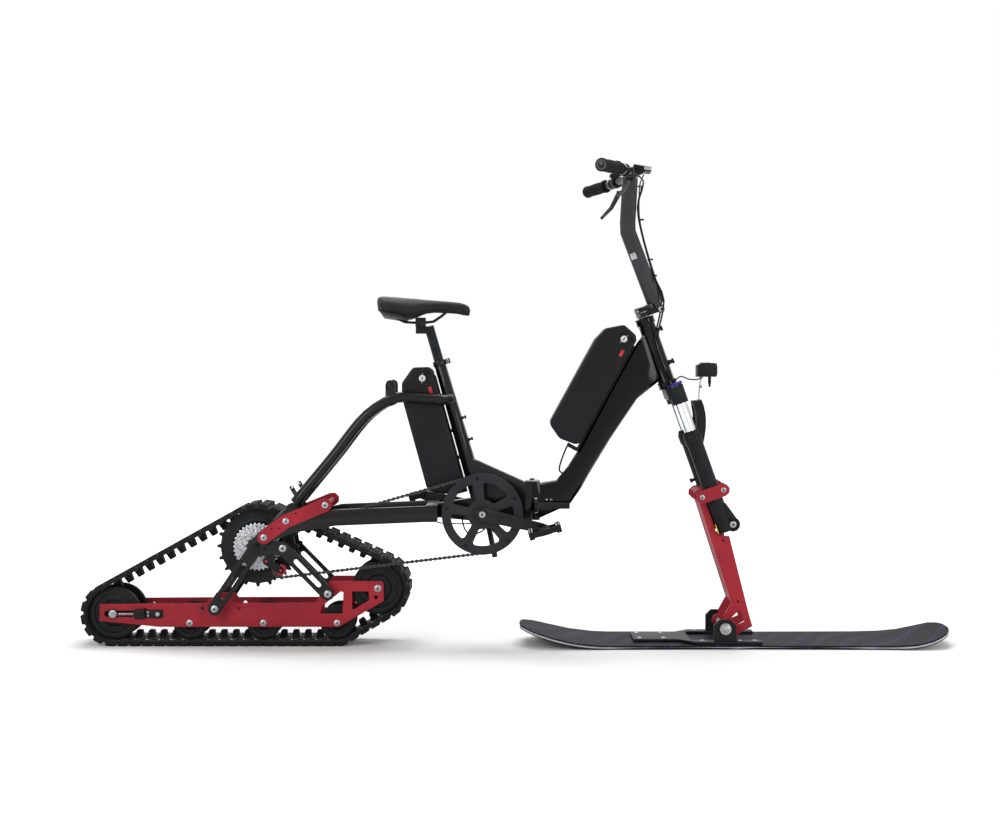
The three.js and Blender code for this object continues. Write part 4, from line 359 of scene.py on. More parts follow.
def fit_piece(name, mesh, body, *materials, bevel=0.0):
    """Puts a mesh in the scene as a piece of a body, with rounded corners where asked."""
    obj = bpy.data.objects.new(name, mesh)
    scene.collection.objects.link(obj)
    for material in materials:
        mesh.materials.append(material)
    round_edges(obj, bevel)
    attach(obj, body)
    return obj


def make_piece(name, bm, body, material, bevel=0.0):
    return fit_piece(name, to_mesh(name, bm), body, material, bevel=bevel)


# %% Points on circles
def polar(x, z, radius, angle):
    return x + radius * math.cos(angle), z + radius * math.sin(angle)


def ring_points(x, z, radius, count, start=0.0):
    return [polar(x, z, radius, start + TURN * i / count) for i in range(count)]


# %% Plates, turned bodies, skins and blocks
def plate(bm, loops, low, high):
    """A plate across the bike between two Y; the first loop of (x, z) is its outline, the others
    are its holes."""
    levels = []
    for y in (low, high):
        rings = [[bm.verts.new((x, y, z)) for x, z in loop] for loop in loops]
        edges = [bm.edges.new((ring[i - 1], ring[i])) for ring in rings for i in range(len(ring))]
        bmesh.ops.triangle_fill(bm, use_beauty=True, edges=edges)
        levels.append(rings)
    for a, b in zip(*levels):
        for i in range(len(a)):
            bm.faces.new((a[i - 1], a[i], b[i], b[i - 1]))


def turned(bm, centre, axis, profile, count, closed=False):
    """A profile of (radius, along) spun about an axis; a radius of nothing closes the end."""
    spin = Vector(axis).to_track_quat("Z", "Y")
    rings = []
    for radius, along in profile:
        corners = [Vector((*polar(0, 0, radius, TURN * i / count), along)) for i in range(count)]
        rings.append([bm.verts.new(Vector(centre) + spin @ corner)
                      for corner in (corners if radius else corners[:1])])
    for a, b in zip(rings, rings[1:] + (rings[:1] if closed else [])):
        for i in range(count):
            corners = [ring[k if len(ring) > 1 else 0]
                       for ring, k in ((a, i - 1), (a, i), (b, i), (b, i - 1))]
            corners = [v for k, v in enumerate(corners) if v not in corners[:k]]
            if len(corners) > 2:
                bm.faces.new(corners)


def rod(bm, start, end, radius, count, round_off):
    along = Vector(end) - Vector(start)
    high = along.length
    turned(bm, start, along, [(0, 0), (radius - round_off, 0), (radius, round_off),
                              (radius, high - round_off), (radius - round_off, high), (0, high)],
           count)


def skin(bm, loops, closed=False):
    """A skin through loops of as many points each; the ends of an open one are capped."""
    rings = [[bm.verts.new(point) for point in loop] for loop in loops]
    for a, b in zip(rings, rings[1:] + (rings[:1] if closed else [])):
        for i in range(len(a)):
            bm.faces.new((a[i - 1], a[i], b[i], b[i - 1]))
    if not closed:
        bm.faces.new(rings[0])
        bm.faces.new(rings[-1])


def run(bm, points, section, closed=False):
    """A section of (across, up) carried along a path without twisting."""
    path = [Vector(p) for p in points]
    loops, up = [], Vector((0, 0, 1))
    for i, point in enumerate(path):
        if closed or 0 < i < len(path) - 1:
            ahead = path[(i + 1) % len(path)] - path[i - 1]
        else:
            ahead = path[1] - path[0] if i == 0 else path[-1] - path[-2]
        ahead.normalize()
        side = up.cross(ahead) if abs(up.dot(ahead)) < 0.99 else Vector((1, 0, 0)).cross(ahead)
        side.normalize()
        up = ahead.cross(side)
        loops.append([point + side * u + up * v for u, v in section])
    skin(bm, loops, closed)


def block(bm, low, high, taper=0.0, place=None):
    """A box between two corners; taper draws the top in, place moves each corner."""
    (x0, y0, z0), (x1, y1, z1) = low, high
    corners = [(x0, y0, z0), (x1, y0, z0), (x1, y1, z0), (x0, y1, z0),
               (x0 + taper, y0 + taper, z1), (x1 - taper, y0 + taper, z1),
               (x1 - taper, y1 - taper, z1), (x0 + taper, y1 - taper, z1)]
    verts = [bm.verts.new(place(*c) if place else c) for c in corners]
    for face in ("3210", "4567", "0154", "1265", "2376", "3047"):
        bm.faces.new([verts[int(i)] for i in face])


# %% Shapes in one call
def blocks(boxes, place=None):
    """A bmesh of boxes, each of them (low, high) or (low, high, taper)."""
    bm = bmesh.new()
    for low, high, *taper in boxes:
        block(bm, low, high, *taper, place=place)
    return bm


def spun(*shapes):
    """A bmesh of profiles spun about Z, each given as (profile, count), to be set down later."""
    bm = bmesh.new()
    for profile, count in shapes:
        turned(bm, (0, 0, 0), (0, 0, 1), profile, count)
    return bm


def turned_piece(name, body, material, centre, axis, profile, count, closed=False, bevel=0.0):
    bm = bmesh.new()
    turned(bm, centre, axis, profile, count, closed)
    return make_piece(name, bm, body, material, bevel)


def round_section(radius, count=6):
    return [polar(0, 0, radius, TURN * k / count) for k in range(count)]


# %% Smooth routes
KNOT_STEPS = 24


def smooth_route(points, count):
    """Evenly spread points on a centripetal Catmull-Rom curve through a few given ones."""
    knots = [Vector(p) for p in points]
    knots = [2 * knots[0] - knots[1]] + knots + [2 * knots[-1] - knots[-2]]
    fine = []
    for a, b, c, d in zip(knots, knots[1:], knots[2:], knots[3:]):
        t0, t1 = 0.0, (b - a).length ** 0.5
        t2 = t1 + (c - b).length ** 0.5
        t3 = t2 + (d - c).length ** 0.5
        for i in range(KNOT_STEPS):
            t = t1 + (t2 - t1) * i / KNOT_STEPS
            p = a * (t1 - t) / (t1 - t0) + b * (t - t0) / (t1 - t0)
            q = b * (t2 - t) / (t2 - t1) + c * (t - t1) / (t2 - t1)
            r = c * (t3 - t) / (t3 - t2) + d * (t - t2) / (t3 - t2)
            first = p * (t2 - t) / (t2 - t0) + q * (t - t0) / (t2 - t0)
            second = q * (t3 - t) / (t3 - t1) + r * (t - t1) / (t3 - t1)
            fine.append(first * (t2 - t) / (t2 - t1) + second * (t - t1) / (t2 - t1))
    fine.append(knots[-2])
    lengths = [0.0]
    for a, b in zip(fine, fine[1:]):
        lengths.append(lengths[-1] + (b - a).length)
    even, k = [], 0
    for i in range(count):
        want = lengths[-1] * i / (count - 1)
        while k < len(fine) - 2 and lengths[k + 1] < want:
            k += 1
        part = (want - lengths[k]) / (lengths[k + 1] - lengths[k])
        even.append(fine[k].lerp(fine[k + 1], part))
    return even


# %% Round corners
def rounded(corners, radii, steps=7):
    """An outline with arcs of the given radii for its corners; a radius of 0 keeps one sharp."""
    outline = []
    for i, radius in enumerate(radii):
        corner = Vector(corners[i])
        if not radius:
            outline.append(corners[i])
            continue
        before = (Vector(corners[i - 1]) - corner).normalized()
        after = (Vector(corners[(i + 1) % len(corners)]) - corner).normalized()
        half = before.angle(after) / 2
        reach = radius / math.tan(half)
        middle = corner + (before + after).normalized() * (radius / math.sin(half))
        first, last = corner + before * reach - middle, corner + after * reach - middle
        begin = math.atan2(first.y, first.x)
        sweep = (math.atan2(last.y, last.x) - begin + math.pi) % TURN - math.pi
        outline += [polar(*middle, radius, begin + sweep * k / steps) for k in range(steps + 1)]
    return outline


def soft_square(centre, half_wide, half_high, radius, steps):
    signs = ((-1, -1), (1, -1), (1, 1), (-1, 1))
    corners = [(centre[0] + u * half_wide, centre[1] + v * half_high) for u, v in signs]
    return rounded(corners, [radius] * 4, steps)


# %% [markdown]
# ## Cables
# Two sleeves leave the brake perches, run down ahead of the handlepost, cross to the sides of the
# head tube and go into the fork, and a thin one follows them from the display. A lead joins the
# battery dock with the down tube, another feeds the lamp, and two more show behind the chainring.
# Each one is a curve of one spline with its true thickness, and it ends inside the bike at both
# ends. Those that stand for a solid lie on its points.


def lay_cable(name, body, points, diameter=4.8, stands_for=(), count=30):
    route = [p * MM for p in smooth_route(points, count)]
    curve = bpy.data.curves.new(name, "CURVE")
    curve.dimensions, curve.bevel_depth, curve.bevel_resolution = "3D", diameter / 2000, 3
    curve.use_fill_caps = True
    spline = curve.splines.new("POLY")
    spline.points.add(len(route) - 1)
    for knot, place in zip(spline.points, route):
        knot.co = (*place, 1)
    curve.materials.append(cable_skin)
    cord = bpy.data.objects.new(name, curve)
    scene.collection.objects.link(cord)
    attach(cord, body)
    if stands_for:
        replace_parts(cord, *stands_for)


def brake_route(side):
    """The way of both brake sleeves, which are mirror twins."""
    return [(x, side * y, z) for x, y, z in (
        (296, 164.4, 1275), (336, 99.2, 1259), (346.4, 18.2, 1246), (333.9, 7, 1190),
        (375.7, 7, 1009.3), (402.2, 33, 936.9), (386, 33, 832.6), (399.1, 33, 779),
        (425.1, 33, 722.2))]


lay_cable("right_sleeve", "stem", brake_route(RIGHT), stands_for=["brake_cable"])
lay_cable("left_sleeve", "stem", brake_route(LEFT), stands_for=["control_cable"])
lay_cable("display_sleeve", "stem", [
    (352, 8, 1283), (341, 6, 1258), (338, 2, 1218), (338.5, 0, 1165), (352, 0, 1100),
    (376, 0, 1018), (396, -9, 955), (404, -18, 925)], diameter=3.6)
lay_cable("battery_lead_sleeve", "front_frame", [
    (140.8, 0, 536.4), (136, 0, 527.6), (119.1, 0, 470.2), (126.5, 0, 463.9)],
    stands_for=["battery_lead"], count=18)
lay_cable("lamp_lead_sleeve", "fork_lower", [
    (425.2, -65, 712.5), (444.6, -52, 727.9), (472.8, -26, 720.3), (497, -16.2, 720.4),
    (508, -16.2, 724.4)], diameter=3.6, stands_for=["lamp_lead"], count=18)
lay_cable("motor_lead_sleeve", "frame", [
    (-98, -10, 346), (-110, -16, 331), (-132, -20, 326.5), (-170, -20, 326.5), (-203, -20, 328),
    (-220, -20, 334), (-230, -20, 352)], diameter=3.6, count=24)
lay_cable("bracket_lead_sleeve", "frame", [
    (-138, -14, 372), (-146, -24, 352), (-145, -32, 332), (-134, -36, 306), (-112, -36, 300),
    (-86, -28, 312), (-76, -16, 332), (-76, -8, 346)], diameter=4.2)

# %% [markdown]
# ## Repeats by Geometry Nodes
# Bolts, tread blocks, chain links and pedal pins are one small shape set down many times. The tree
# takes points that carry a turn, puts a copy on each, makes the copies real and gives them their
# finish.


# %% The tree that repeats a shape
def repeat_tree():
    tree = bpy.data.node_groups.new("Repeat on points", "GeometryNodeTree")
    for name, kind in (("Geometry", "NodeSocketGeometry"), ("Shape", "NodeSocketObject"),
                       ("Finish", "NodeSocketMaterial"), ("Size", "NodeSocketFloat")):
        tree.interface.new_socket(name, in_out="INPUT", socket_type=kind)
    tree.interface.new_socket("Geometry", in_out="OUTPUT", socket_type="NodeSocketGeometry")
    start, end = tree.nodes.new("NodeGroupInput"), tree.nodes.new("NodeGroupOutput")
    shape = tree.nodes.new("GeometryNodeObjectInfo")
    turns = tree.nodes.new("GeometryNodeInputNamedAttribute")
    turns.data_type = "FLOAT_VECTOR"
    turns.inputs["Name"].default_value = "turn"
    rotation = tree.nodes.new("FunctionNodeEulerToRotation")
    copies = tree.nodes.new("GeometryNodeInstanceOnPoints")
    real = tree.nodes.new("GeometryNodeRealizeInstances")
    coat = tree.nodes.new("GeometryNodeSetMaterial")
    link_nodes(tree, (start.outputs["Shape"], shape.inputs["Object"]),
               (turns.outputs["Attribute"], rotation.inputs[0]),
               (start.outputs["Geometry"], copies.inputs["Points"]),
               (shape.outputs["Geometry"], copies.inputs["Instance"]),
               (rotation.outputs[0], copies.inputs["Rotation"]),
               (start.outputs["Size"], copies.inputs["Scale"]),
               (copies.outputs[0], real.inputs[0]), (real.outputs[0], coat.inputs["Geometry"]),
               (start.outputs["Finish"], coat.inputs["Material"]), (coat.outputs[0], end.inputs[0]))
    return tree


repeat = repeat_tree()
repeat_inputs = {item.name: item.identifier for item in repeat.interface.items_tree
                 if item.in_out == "INPUT"}


# %% Set copies down
def evaluated_mesh(obj, name):
    made = bpy.data.meshes.new_from_object(obj.evaluated_get(bpy.context.evaluated_depsgraph_get()))
    made.name = name
    return made


def set_down(name, body, shape, material, spots, size=1.0):
    """Copies of a small bmesh shape on spots of (place in mm, turn), kept as one plain piece."""
    sample = bpy.data.objects.new("sample", to_mesh("sample", shape))
    points = bpy.data.meshes.new("points")
    points.from_pydata([[c * MM for c in place] for place, _ in spots], [], [])
    turns = points.attributes.new("turn", "FLOAT_VECTOR", "POINT")
    for datum, (_, turn) in zip(turns.data, spots):
        datum.vector = turn
    carrier = bpy.data.objects.new("carrier", points)
    for obj in (sample, carrier):
        scene.collection.objects.link(obj)
    layout = carrier.modifiers.new("repeat", "NODES")
    layout.node_group = repeat
    for socket, value in (("Shape", sample), ("Finish", material), ("Size", size)):
        layout[repeat_inputs[socket]] = value
    made = evaluated_mesh(carrier, name)
    carrier.modifiers.remove(layout)
    for obj in (carrier, sample):
        bpy.data.objects.remove(obj)
    print(name, "copies", len(spots), "faces", len(made.polygons))
    return fit_piece(name, made, body)


# %% Ways to face
TO_RIGHT, TO_LEFT = (math.pi / 2, 0, 0), (-math.pi / 2, 0, 0)
UPWARD, DOWNWARD = (0, 0, 0), (math.pi, 0, 0)


def facing(direction):
    return tuple(Vector(direction).to_track_quat("Z", "Y").to_euler())


def right_side(places, y):
    """Spots at (x, z) on a face on the right, y from the middle plane."""
    return [((x, -y, z), TO_RIGHT) for x, z in places]


def both_sides(places, y):
    return right_side(places, y) + [((x, y, z), TO_LEFT) for x, z in places]


# %% Bolt heads
SUNK = -0.5


def socket_bolt(radius, height, washer=0.0):
    """A cap bolt with a socket, standing on Z, with a washer under it where asked."""
    head = [(0, SUNK), (radius, SUNK), (radius, height * 0.7), (radius * 0.94, height * 0.9),
            (radius * 0.84, height), (radius * 0.5, height), (radius * 0.48, height * 0.4),
            (0, height * 0.36)]
    if not washer:
        return spun((head, 18))
    return spun(([(0, SUNK), (washer - 0.3, SUNK), (washer, -0.2), (washer, 1.0),
                  (washer - 0.4, 1.3), (0, 1.3)], 20), (head, 18))


def hex_nut(radius, height, washer=0.0):
    """A nut with the end of its thread, standing on Z, with a washer under it where asked."""
    bore = radius * 0.45
    nut = [(0, 0), (radius * 0.96, 0), (radius, 0.6), (radius, height - 0.6),
           (radius * 0.92, height), (0, height)]
    stud = [(0, height - 1), (bore, height - 1), (bore, height + 2.2), (bore - 0.8, height + 3),
            (0, height + 3)]
    if not washer:
        return spun((nut, 6), (stud, 14))
    return spun(([(0, SUNK), (washer, SUNK), (washer, 1.2), (washer - 0.4, 1.5), (0, 1.5)], 20),
                (nut, 6), (stud, 14))


def socket_shade(radius, height):
    """A dark hexagon at the bottom of a socket, painted shade for the hole, set down apart to take
    its own finish.
    """
    wide = radius * 0.46
    return spun(([(0, height * 0.4), (wide, height * 0.4), (wide, height * 0.62),
                  (0, height * 0.62)], 6))


def set_bolts(name, body, radius, height, spots, washer=0.0):
    """Silver cap bolts, with a dark hexagon of painted shade in each socket."""
    set_down(name, body, socket_bolt(radius, height, washer), silver, spots)
    # The dark hexagons in the sockets are painted shade in the holes.
    set_down(name + "_sockets", body, socket_shade(radius, height), dark_steel, spots)


# %% [markdown]
# ## The track belt
# The real belt is a rubber band with two rows of windows, cross bars of tread outside, a row of
# guide lugs inside and a steel clip round the rubber between the windows. Its path is four circles
# and the lines between them, so every part is placed by its distance along that loop. The band is a
# grid with cells left out, which keeps the windows crisp on the curves; the blocks, lugs and clips
# are repeats.

# %% The loop of the belt
HUB, REAR_IDLER, FRONT_IDLER = (-700, 268.5), (-1089.5, 86.5), (-374, 155)
BOGIES, BOGIE_Z = (-883, -683.5, -484), 61.5
PITCH, BAND, HALF_BELT, TREAD = 33.0, 6.5, 70.0, 8.0
IDLER_INSIDE, BOGIE_INSIDE = 72 + BAND / 2, 47 + BAND / 2
SPROCKET = 20 * PITCH / TURN


def loop_path(circles):
    """A closed run round circles met in order; a negative radius is passed on its other side."""
    count = len(circles)
    lines = []
    for i, (x, z, r) in enumerate(circles):
        x2, z2, r2 = circles[(i + 1) % count]
        lean = math.atan2(z2 - z, x2 - x)
        lines.append(lean - math.acos((r - r2) / math.hypot(x2 - x, z2 - z)))
    parts, total = [], 0.0
    for i, (x, z, r) in enumerate(circles):
        sweep = math.fmod(lines[i] - lines[i - 1], TURN)
        sweep += TURN if r > 0 and sweep < 0 else -TURN if r < 0 and sweep > 0 else 0
        x2, z2, r2 = circles[(i + 1) % count]
        a, b = polar(x, z, r, lines[i]), polar(x2, z2, r2, lines[i])
        parts.append((total, abs(r * sweep), (x, z, r, lines[i - 1], sweep), None))
        total += abs(r * sweep)
        parts.append((total, math.dist(a, b), None, (a, b, lines[i])))
        total += math.dist(a, b)

    def at(distance, offset=0.0):
        s = distance % total
        start, length, arc, line = next(p for p in reversed(parts) if p[0] <= s)
        t = (s - start) / length
        if arc:
            x, z, r, begin, sweep = arc
            return polar(x, z, r + offset, begin + sweep * t)
        (ax, az), (bx, bz), normal = line
        return polar(ax + (bx - ax) * t, az + (bz - az) * t, offset, normal)

    def outward(distance):
        (ax, az), (bx, bz) = at(distance), at(distance, 1)
        return math.atan2(bz - az, bx - ax)

    return total, at, outward, lines


belt_length, on_belt, belt_out, belt_lines = loop_path([
    (*HUB, SPROCKET), (*REAR_IDLER, IDLER_INSIDE), (BOGIES[2], BOGIE_Z, BOGIE_INSIDE),
    (*FRONT_IDLER, IDLER_INSIDE)])
cells = round(belt_length / PITCH)
cell = belt_length / cells
belt_top = (math.pi / 2 - belt_lines[-1]) * SPROCKET
print("belt", round(belt_length, 1), "mm in", cells, "cells")

# %% The windowed band
WINDOW, STRIPS = 15.5, [-HALF_BELT, -48, -38, 38, 48, HALF_BELT]
window_strips, window_slices = (1, 3), (0, 1)
slices = [belt_top + i * cell + s for i in range(cells)
          for s in (-WINDOW / 2, 0, WINDOW / 2, cell / 2)]
band = bmesh.new()
grid = {}
for j, s in enumerate(slices):
    for side in (0, 1):
        x, z = on_belt(s, (side - 0.5) * BAND)
        for k, y in enumerate(STRIPS):
            grid[j, k, side] = band.verts.new((x, y, z))


def filled(j, k):
    return 0 <= k < len(STRIPS) - 1 and not (k in window_strips and j % 4 in window_slices)


def band_face(*corners):
    band.faces.new([grid[corner] for corner in corners])


for j in range(len(slices)):
    n = (j + 1) % len(slices)
    for k in range(len(STRIPS) - 1):
        if not filled(j, k):
            continue
        for side in (0, 1):
            band_face((j, k, side), (n, k, side), (n, k + 1, side), (j, k + 1, side))
        for edge, beside in ((k, k - 1), (k + 1, k + 1)):
            if not filled(j, beside):
                band_face((j, edge, 0), (n, edge, 0), (n, edge, 1), (j, edge, 1))
        for slot, beside in ((j, j - 1), (n, n)):
            if not filled(beside % len(slices), k):
                band_face((slot, k, 0), (slot, k + 1, 0), (slot, k + 1, 1), (slot, k, 1))
belt_band = make_piece("belt_band", band, "track", rubber)
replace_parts(belt_band, "track_belt")
print("band faces", len(belt_band.data.polygons))

# %% Tread bars, guide lugs and clips
INSIDE, OUTSIDE, CLIP_Y = -BAND / 2, BAND / 2, 43
mids = [belt_top + (i + 0.5) * cell for i in range(cells)]


def on_loop(distance, offset):
    x, z = on_belt(distance, offset)
    return (x, 0.0, z), (0, math.pi / 2 - belt_out(distance), 0)


def tread_bar(y0, y1, half):
    """A rubber foot, a chamfered top and a thin rib along it."""
    return [((-half, y0, -0.3), (half, y1, TREAD - 1.4), 1.4),
            ((1.5 - half, y0 + 1.5, TREAD - 1.5), (half - 1.5, y1 - 1.5, TREAD), 0.9),
            ((-2, y0 + 4, TREAD - 0.2), (2, y1 - 4, TREAD), 0.1)]


def belt_clip(y):
    """The clip's plate outside, its foot inside and a rivet on it."""
    return [((-8.4, y - 6.4, BAND - 0.1), (8.4, y + 6.4, BAND + 1.1), 0.5),
            ((-8.4, y - 4.9, -0.22), (8.4, y + 4.9, 0.05)),
            ((-3, y - 3, BAND + 1), (3, y + 3, BAND + 1.9), 0.6)]


tread_rows = ((-70, -49.5, 13.5), (-36.5, -14, 13.5), (-12.5, 12.5, 11.5), (14, 36.5, 13.5),
              (49.5, 70, 13.5))
set_down("belt_tread", "track", blocks([box for row in tread_rows for box in tread_bar(*row)]),
         rubber, [on_loop(s, OUTSIDE) for s in mids])
lug = blocks([((-10, -13, -0.4), (10, 13, 17.5), 2.2), ((-7.8, -10.8, 17.4), (7.8, 10.8, 20), 1.6)])
inward = [(place, (0, turn[1] + math.pi, 0)) for place, turn in (on_loop(s, INSIDE) for s in mids)]
set_down("belt_guides", "track", lug, rubber, inward)
set_down("belt_clips", "track", blocks(belt_clip(-CLIP_Y) + belt_clip(CLIP_Y)), steel,
         [on_loop(s, INSIDE) for s in mids])

# %% [markdown]
# ## Wheels of the carriage
# An idler is a moulded disc with a rubber tyre on each rim and a channel between for the lugs;
# rings are cast in its face. A profile turned about the axle gives all of that at once, and each
# wheel rides on its own body so it spins.


# %% Idlers and bogies
def carriage_wheel(body, x, z, radius, bore, core):
    """A disc with its two tyres and six studs a side; core is the radius of the lugs' channel."""
    disc, tyres = bmesh.new(), bmesh.new()
    lip = radius - 9
    face = [(bore, 45), (bore + 8, 45), (bore + 9.5, 43), (lip * 0.52, 42), (lip * 0.56, 44.5),
            (lip * 0.6, 42.2), (lip * 0.84, 41.6), (lip * 0.87, 46.5), (lip, 47), (lip, 33.5)]
    channel = [(core, 32.5), (core, 0), (core, -32.5)]
    turned(disc, (x, 0, z), (0, 1, 0), face + channel + [(r, -y) for r, y in reversed(face)], 48,
           closed=True)
    rim = [(lip, 33), (radius - 1, 33), (radius, 34), (radius, 39.5), (radius - 1.6, 40),
           (radius - 1.6, 41), (radius, 41.5), (radius, 47), (radius - 1.2, 48), (lip, 48)]
    for side in (LEFT, RIGHT):
        turned(tyres, (x, 0, z), (0, 1, 0), [(r, side * y) for r, y in rim], 56, closed=True)
    name = body + "_disc"
    wheel = make_piece(name, disc, body, wheel_plastic)
    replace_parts(wheel, body)
    make_piece(name + "_tyres", tyres, body, tyre)
    set_down(name + "_studs", body, socket_bolt(2.6, 1.6), dark_steel,
             both_sides(ring_points(x, z, lip * 0.72, 6), 41.8))


carriage_wheel("rear_idler", *REAR_IDLER, 71.4, 8.6, 46)
carriage_wheel("front_idler", *FRONT_IDLER, 71.4, 8.6, 46)
for i, x in enumerate(BOGIES, 1):
    carriage_wheel(f"bogie_{i}", x, BOGIE_Z, 46.4, 6.6, 24)

# %% [markdown]
# ## Bolts of the carriage
# Struts, side plates and tensioners show zinc bolt heads in a few sizes. The heads are repeats of
# two small shapes, and the tensioner's end blocks and thread are modelled too.

# %% Carriage bolts
PLATE_FACE, TENSIONER_FACE = 59.6, 63.6
set_bolts("strut_bolts", "track", 6.6, 4, both_sides([(-810, 104), (-506, 144), (-627, 267)], 91.6),
          washer=9.8)
set_bolts("bogie_bolts", "track", 5.6, 3.6, both_sides([(x, BOGIE_Z) for x in BOGIES], PLATE_FACE),
          washer=8.6)
set_bolts("front_idler_bolts", "track", 6.4, 4, both_sides([FRONT_IDLER], PLATE_FACE), washer=9.6)
set_down("rear_idler_nuts", "track", hex_nut(7.6, 5, washer=10.6), silver,
         both_sides([REAR_IDLER], 64.6))
set_bolts("tensioner_screws", "track", 3.2, 2, both_sides([(-994, 91), (-994, 82)], TENSIONER_FACE))
set_down("tensioner_clamps", "track", hex_nut(6.5, 5), silver,
         both_sides([(-968, 86.5)], TENSIONER_FACE))

# %% Tensioner blocks and thread
THREAD_TURNS, THREAD_PITCH = 26, 1.6
ends, threads = bmesh.new(), bmesh.new()
for side in (LEFT, RIGHT):
    block(ends, (-1031, side * 59.8, 74), (-1003, side * 69.5, 99))
    block(ends, (-1002, side * 59.8, 77), (-956, side * 63.5, 96))
    for i in range(THREAD_TURNS):
        turned(threads, (-1074 + i * THREAD_PITCH, side * 63.2, REAR_IDLER[1]), (1, 0, 0),
               [(0, 0), (3.7, 0), (4.3, 0.8), (3.7, 1.6), (0, 1.6)], 12)
make_piece("tensioner_ends", ends, "track", cast, bevel=0.0012)
make_piece("tensioner_threads", threads, "track", silver)

# %% [markdown]
# ## Drive
# The hub turns a toothed disc under each row of windows, behind a turned cover with a ring of
# bolts. On the right end of its axle sit a bright cassette, the chain and a derailleur with two red
# pulleys. Cogs, ring and pulleys are plates with toothed outlines; the chain is a repeat of links
# along the same kind of loop as the belt.

# %% Hub covers
cover = bmesh.new()
cover_profile = [(41, 45.5), (76, 45.5), (76, 47.5), (70, 50), (66, 50), (64, 48.5), (50, 48.5),
                 (47, 52), (42, 53), (41, 53)]
for side in (LEFT, RIGHT):
    turned(cover, (HUB[0], 0, HUB[1]), (0, 1, 0), [(r, side * y) for r, y in cover_profile], 64,
           closed=True)
make_piece("hub_covers", cover, "drive_hub", cast)
set_down("hub_cover_bolts", "drive_hub", socket_bolt(3.2, 2.6), dark_steel,
         both_sides(ring_points(*HUB, 57, 10), 48.4))
set_down("hub_disc_rivets", "drive_hub", socket_bolt(5.4, 1.2), cast,
         both_sides(ring_points(*HUB, 88.5, 10), 45.6))
set_down("axle_nuts", "frame", hex_nut(6, 4, washer=8), silver, both_sides([HUB], 98.6))


# %% Toothed outlines
def toothed(x, z, root, tip, teeth, start=0.0):
    """Each tooth has a foot, two corners of its tip and a foot, shares of half a tooth's pitch."""
    half = math.pi / teeth
    return [polar(x, z, radius, start + TURN * i / teeth + part * half) for i in range(teeth)
            for radius, part in ((root, -0.874), (tip, -0.231), (tip, 0.126), (root, 0.79))]


# %% Cassette
cog_rows = ((34, 65, 60.2), (30, 56.4, 63.7), (27, 47.8, 67.2), (24, 39.2, 70.7), (12, 22.5, 76.0))
cogs = bmesh.new()
for i, (teeth, radius, y) in enumerate(cog_rows):
    holes = []
    if radius > 30:
        centres = ring_points(*HUB, radius * 0.76, 12, TURN * 0.3 * i / 12)
        holes += [ring_points(*centre, radius * 0.085, 8) for centre in centres]
    if radius > 40:
        centres = ring_points(*HUB, radius * 0.55, 8, TURN / 16)
        holes += [ring_points(*centre, radius * 0.07, 8) for centre in centres]
    outlines = [toothed(*HUB, radius - 4.5, radius, teeth)] + holes + [ring_points(*HUB, 8, 16)]
    plate(cogs, outlines, -y, -y - 1.9)
for y, profile in ((-60, [(8, 0), (16.5, 0), (16.5, 15), (15, 16), (8, 16)]),
                   (-78, [(8, 0), (13, 0), (13, 2.2), (11, 3.4), (8, 3.4)])):
    turned(cogs, (HUB[0], y, HUB[1]), (0, -1, 0), profile, 24, closed=True)
cassette_cogs = make_piece("cassette_cogs", cogs, "cassette", silver, bevel=0.0003)
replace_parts(cassette_cogs, "cassette")
print("cassette faces", len(cassette_cogs.data.polygons))

# %% Chainring and its guard
BRACKET, SPOKES, FIRST_SPOKE = (-91, 358), 5, math.radians(26)
GUARD, GUARD_BORE, GUARD_FACE = 109.3, 12.6, 85.6


def spoke_window(i, rim, core, wide_rim, wide_core, corner):
    """A window between two spokes: an arc at the rim, an arc at the core, four round corners."""
    first, last = FIRST_SPOKE + TURN * i / SPOKES, FIRST_SPOKE + TURN * (i + 1) / SPOKES
    a, b = first + wide_rim / 2 / rim, last - wide_rim / 2 / rim
    c, d = first + wide_core / 2 / core, last - wide_core / 2 / core
    outer = [polar(*BRACKET, rim, a + (b - a) * k / 8) for k in range(9)]
    inner = [polar(*BRACKET, core, d + (c - d) * k / 4) for k in range(5)]
    return rounded(outer + inner, [corner] + [0] * 7 + [corner] * 2 + [0] * 3 + [corner])


guard = bmesh.new()
windows = [spoke_window(i, 85, 40, 28, 23, 7) for i in range(SPOKES)]
plate(guard, [ring_points(*BRACKET, GUARD, 96), *windows, ring_points(*BRACKET, GUARD_BORE, 24)],
      -82.6, -GUARD_FACE)
turned(guard, (BRACKET[0], -75.6, BRACKET[1]), (0, -1, 0),
       [(GUARD_BORE, 0), (33, 0), (34, 1), (34, 7.4), (GUARD_BORE, 7.4)], 40, closed=True)
turned(guard, (BRACKET[0], 0, BRACKET[1]), (0, -1, 0),
       [(103.6, 82.4), (GUARD, 82.4), (GUARD, 79.8), (107.5, 79.8), (107.5, 81.4), (103.6, 81.4)],
       96, closed=True)
ring_guard = make_piece("ring_guard", guard, "crank", guard_black, bevel=0.0009)
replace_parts(ring_guard, "chainring")
toothed_ring = bmesh.new()
plate(toothed_ring, [toothed(*BRACKET, 101.5, 107, 52), ring_points(*BRACKET, 86, 64)],
      -75.7, -78.3)
plate(toothed_ring, [ring_points(*BRACKET, radius, 64) for radius in (97, 86.5)], -78.2, -82.7)
make_piece("toothed_ring", toothed_ring, "crank", dark_steel, bevel=0.0003)
set_down("ring_bolts", "crank", socket_bolt(4.6, 1.8), dark_steel,
         right_side(ring_points(*BRACKET, 96.5, SPOKES, FIRST_SPOKE), GUARD_FACE - 0.2))
set_bolts("crank_bolts", "crank", 7.2, 2.6, both_sides([BRACKET], 98.1), washer=8.6)

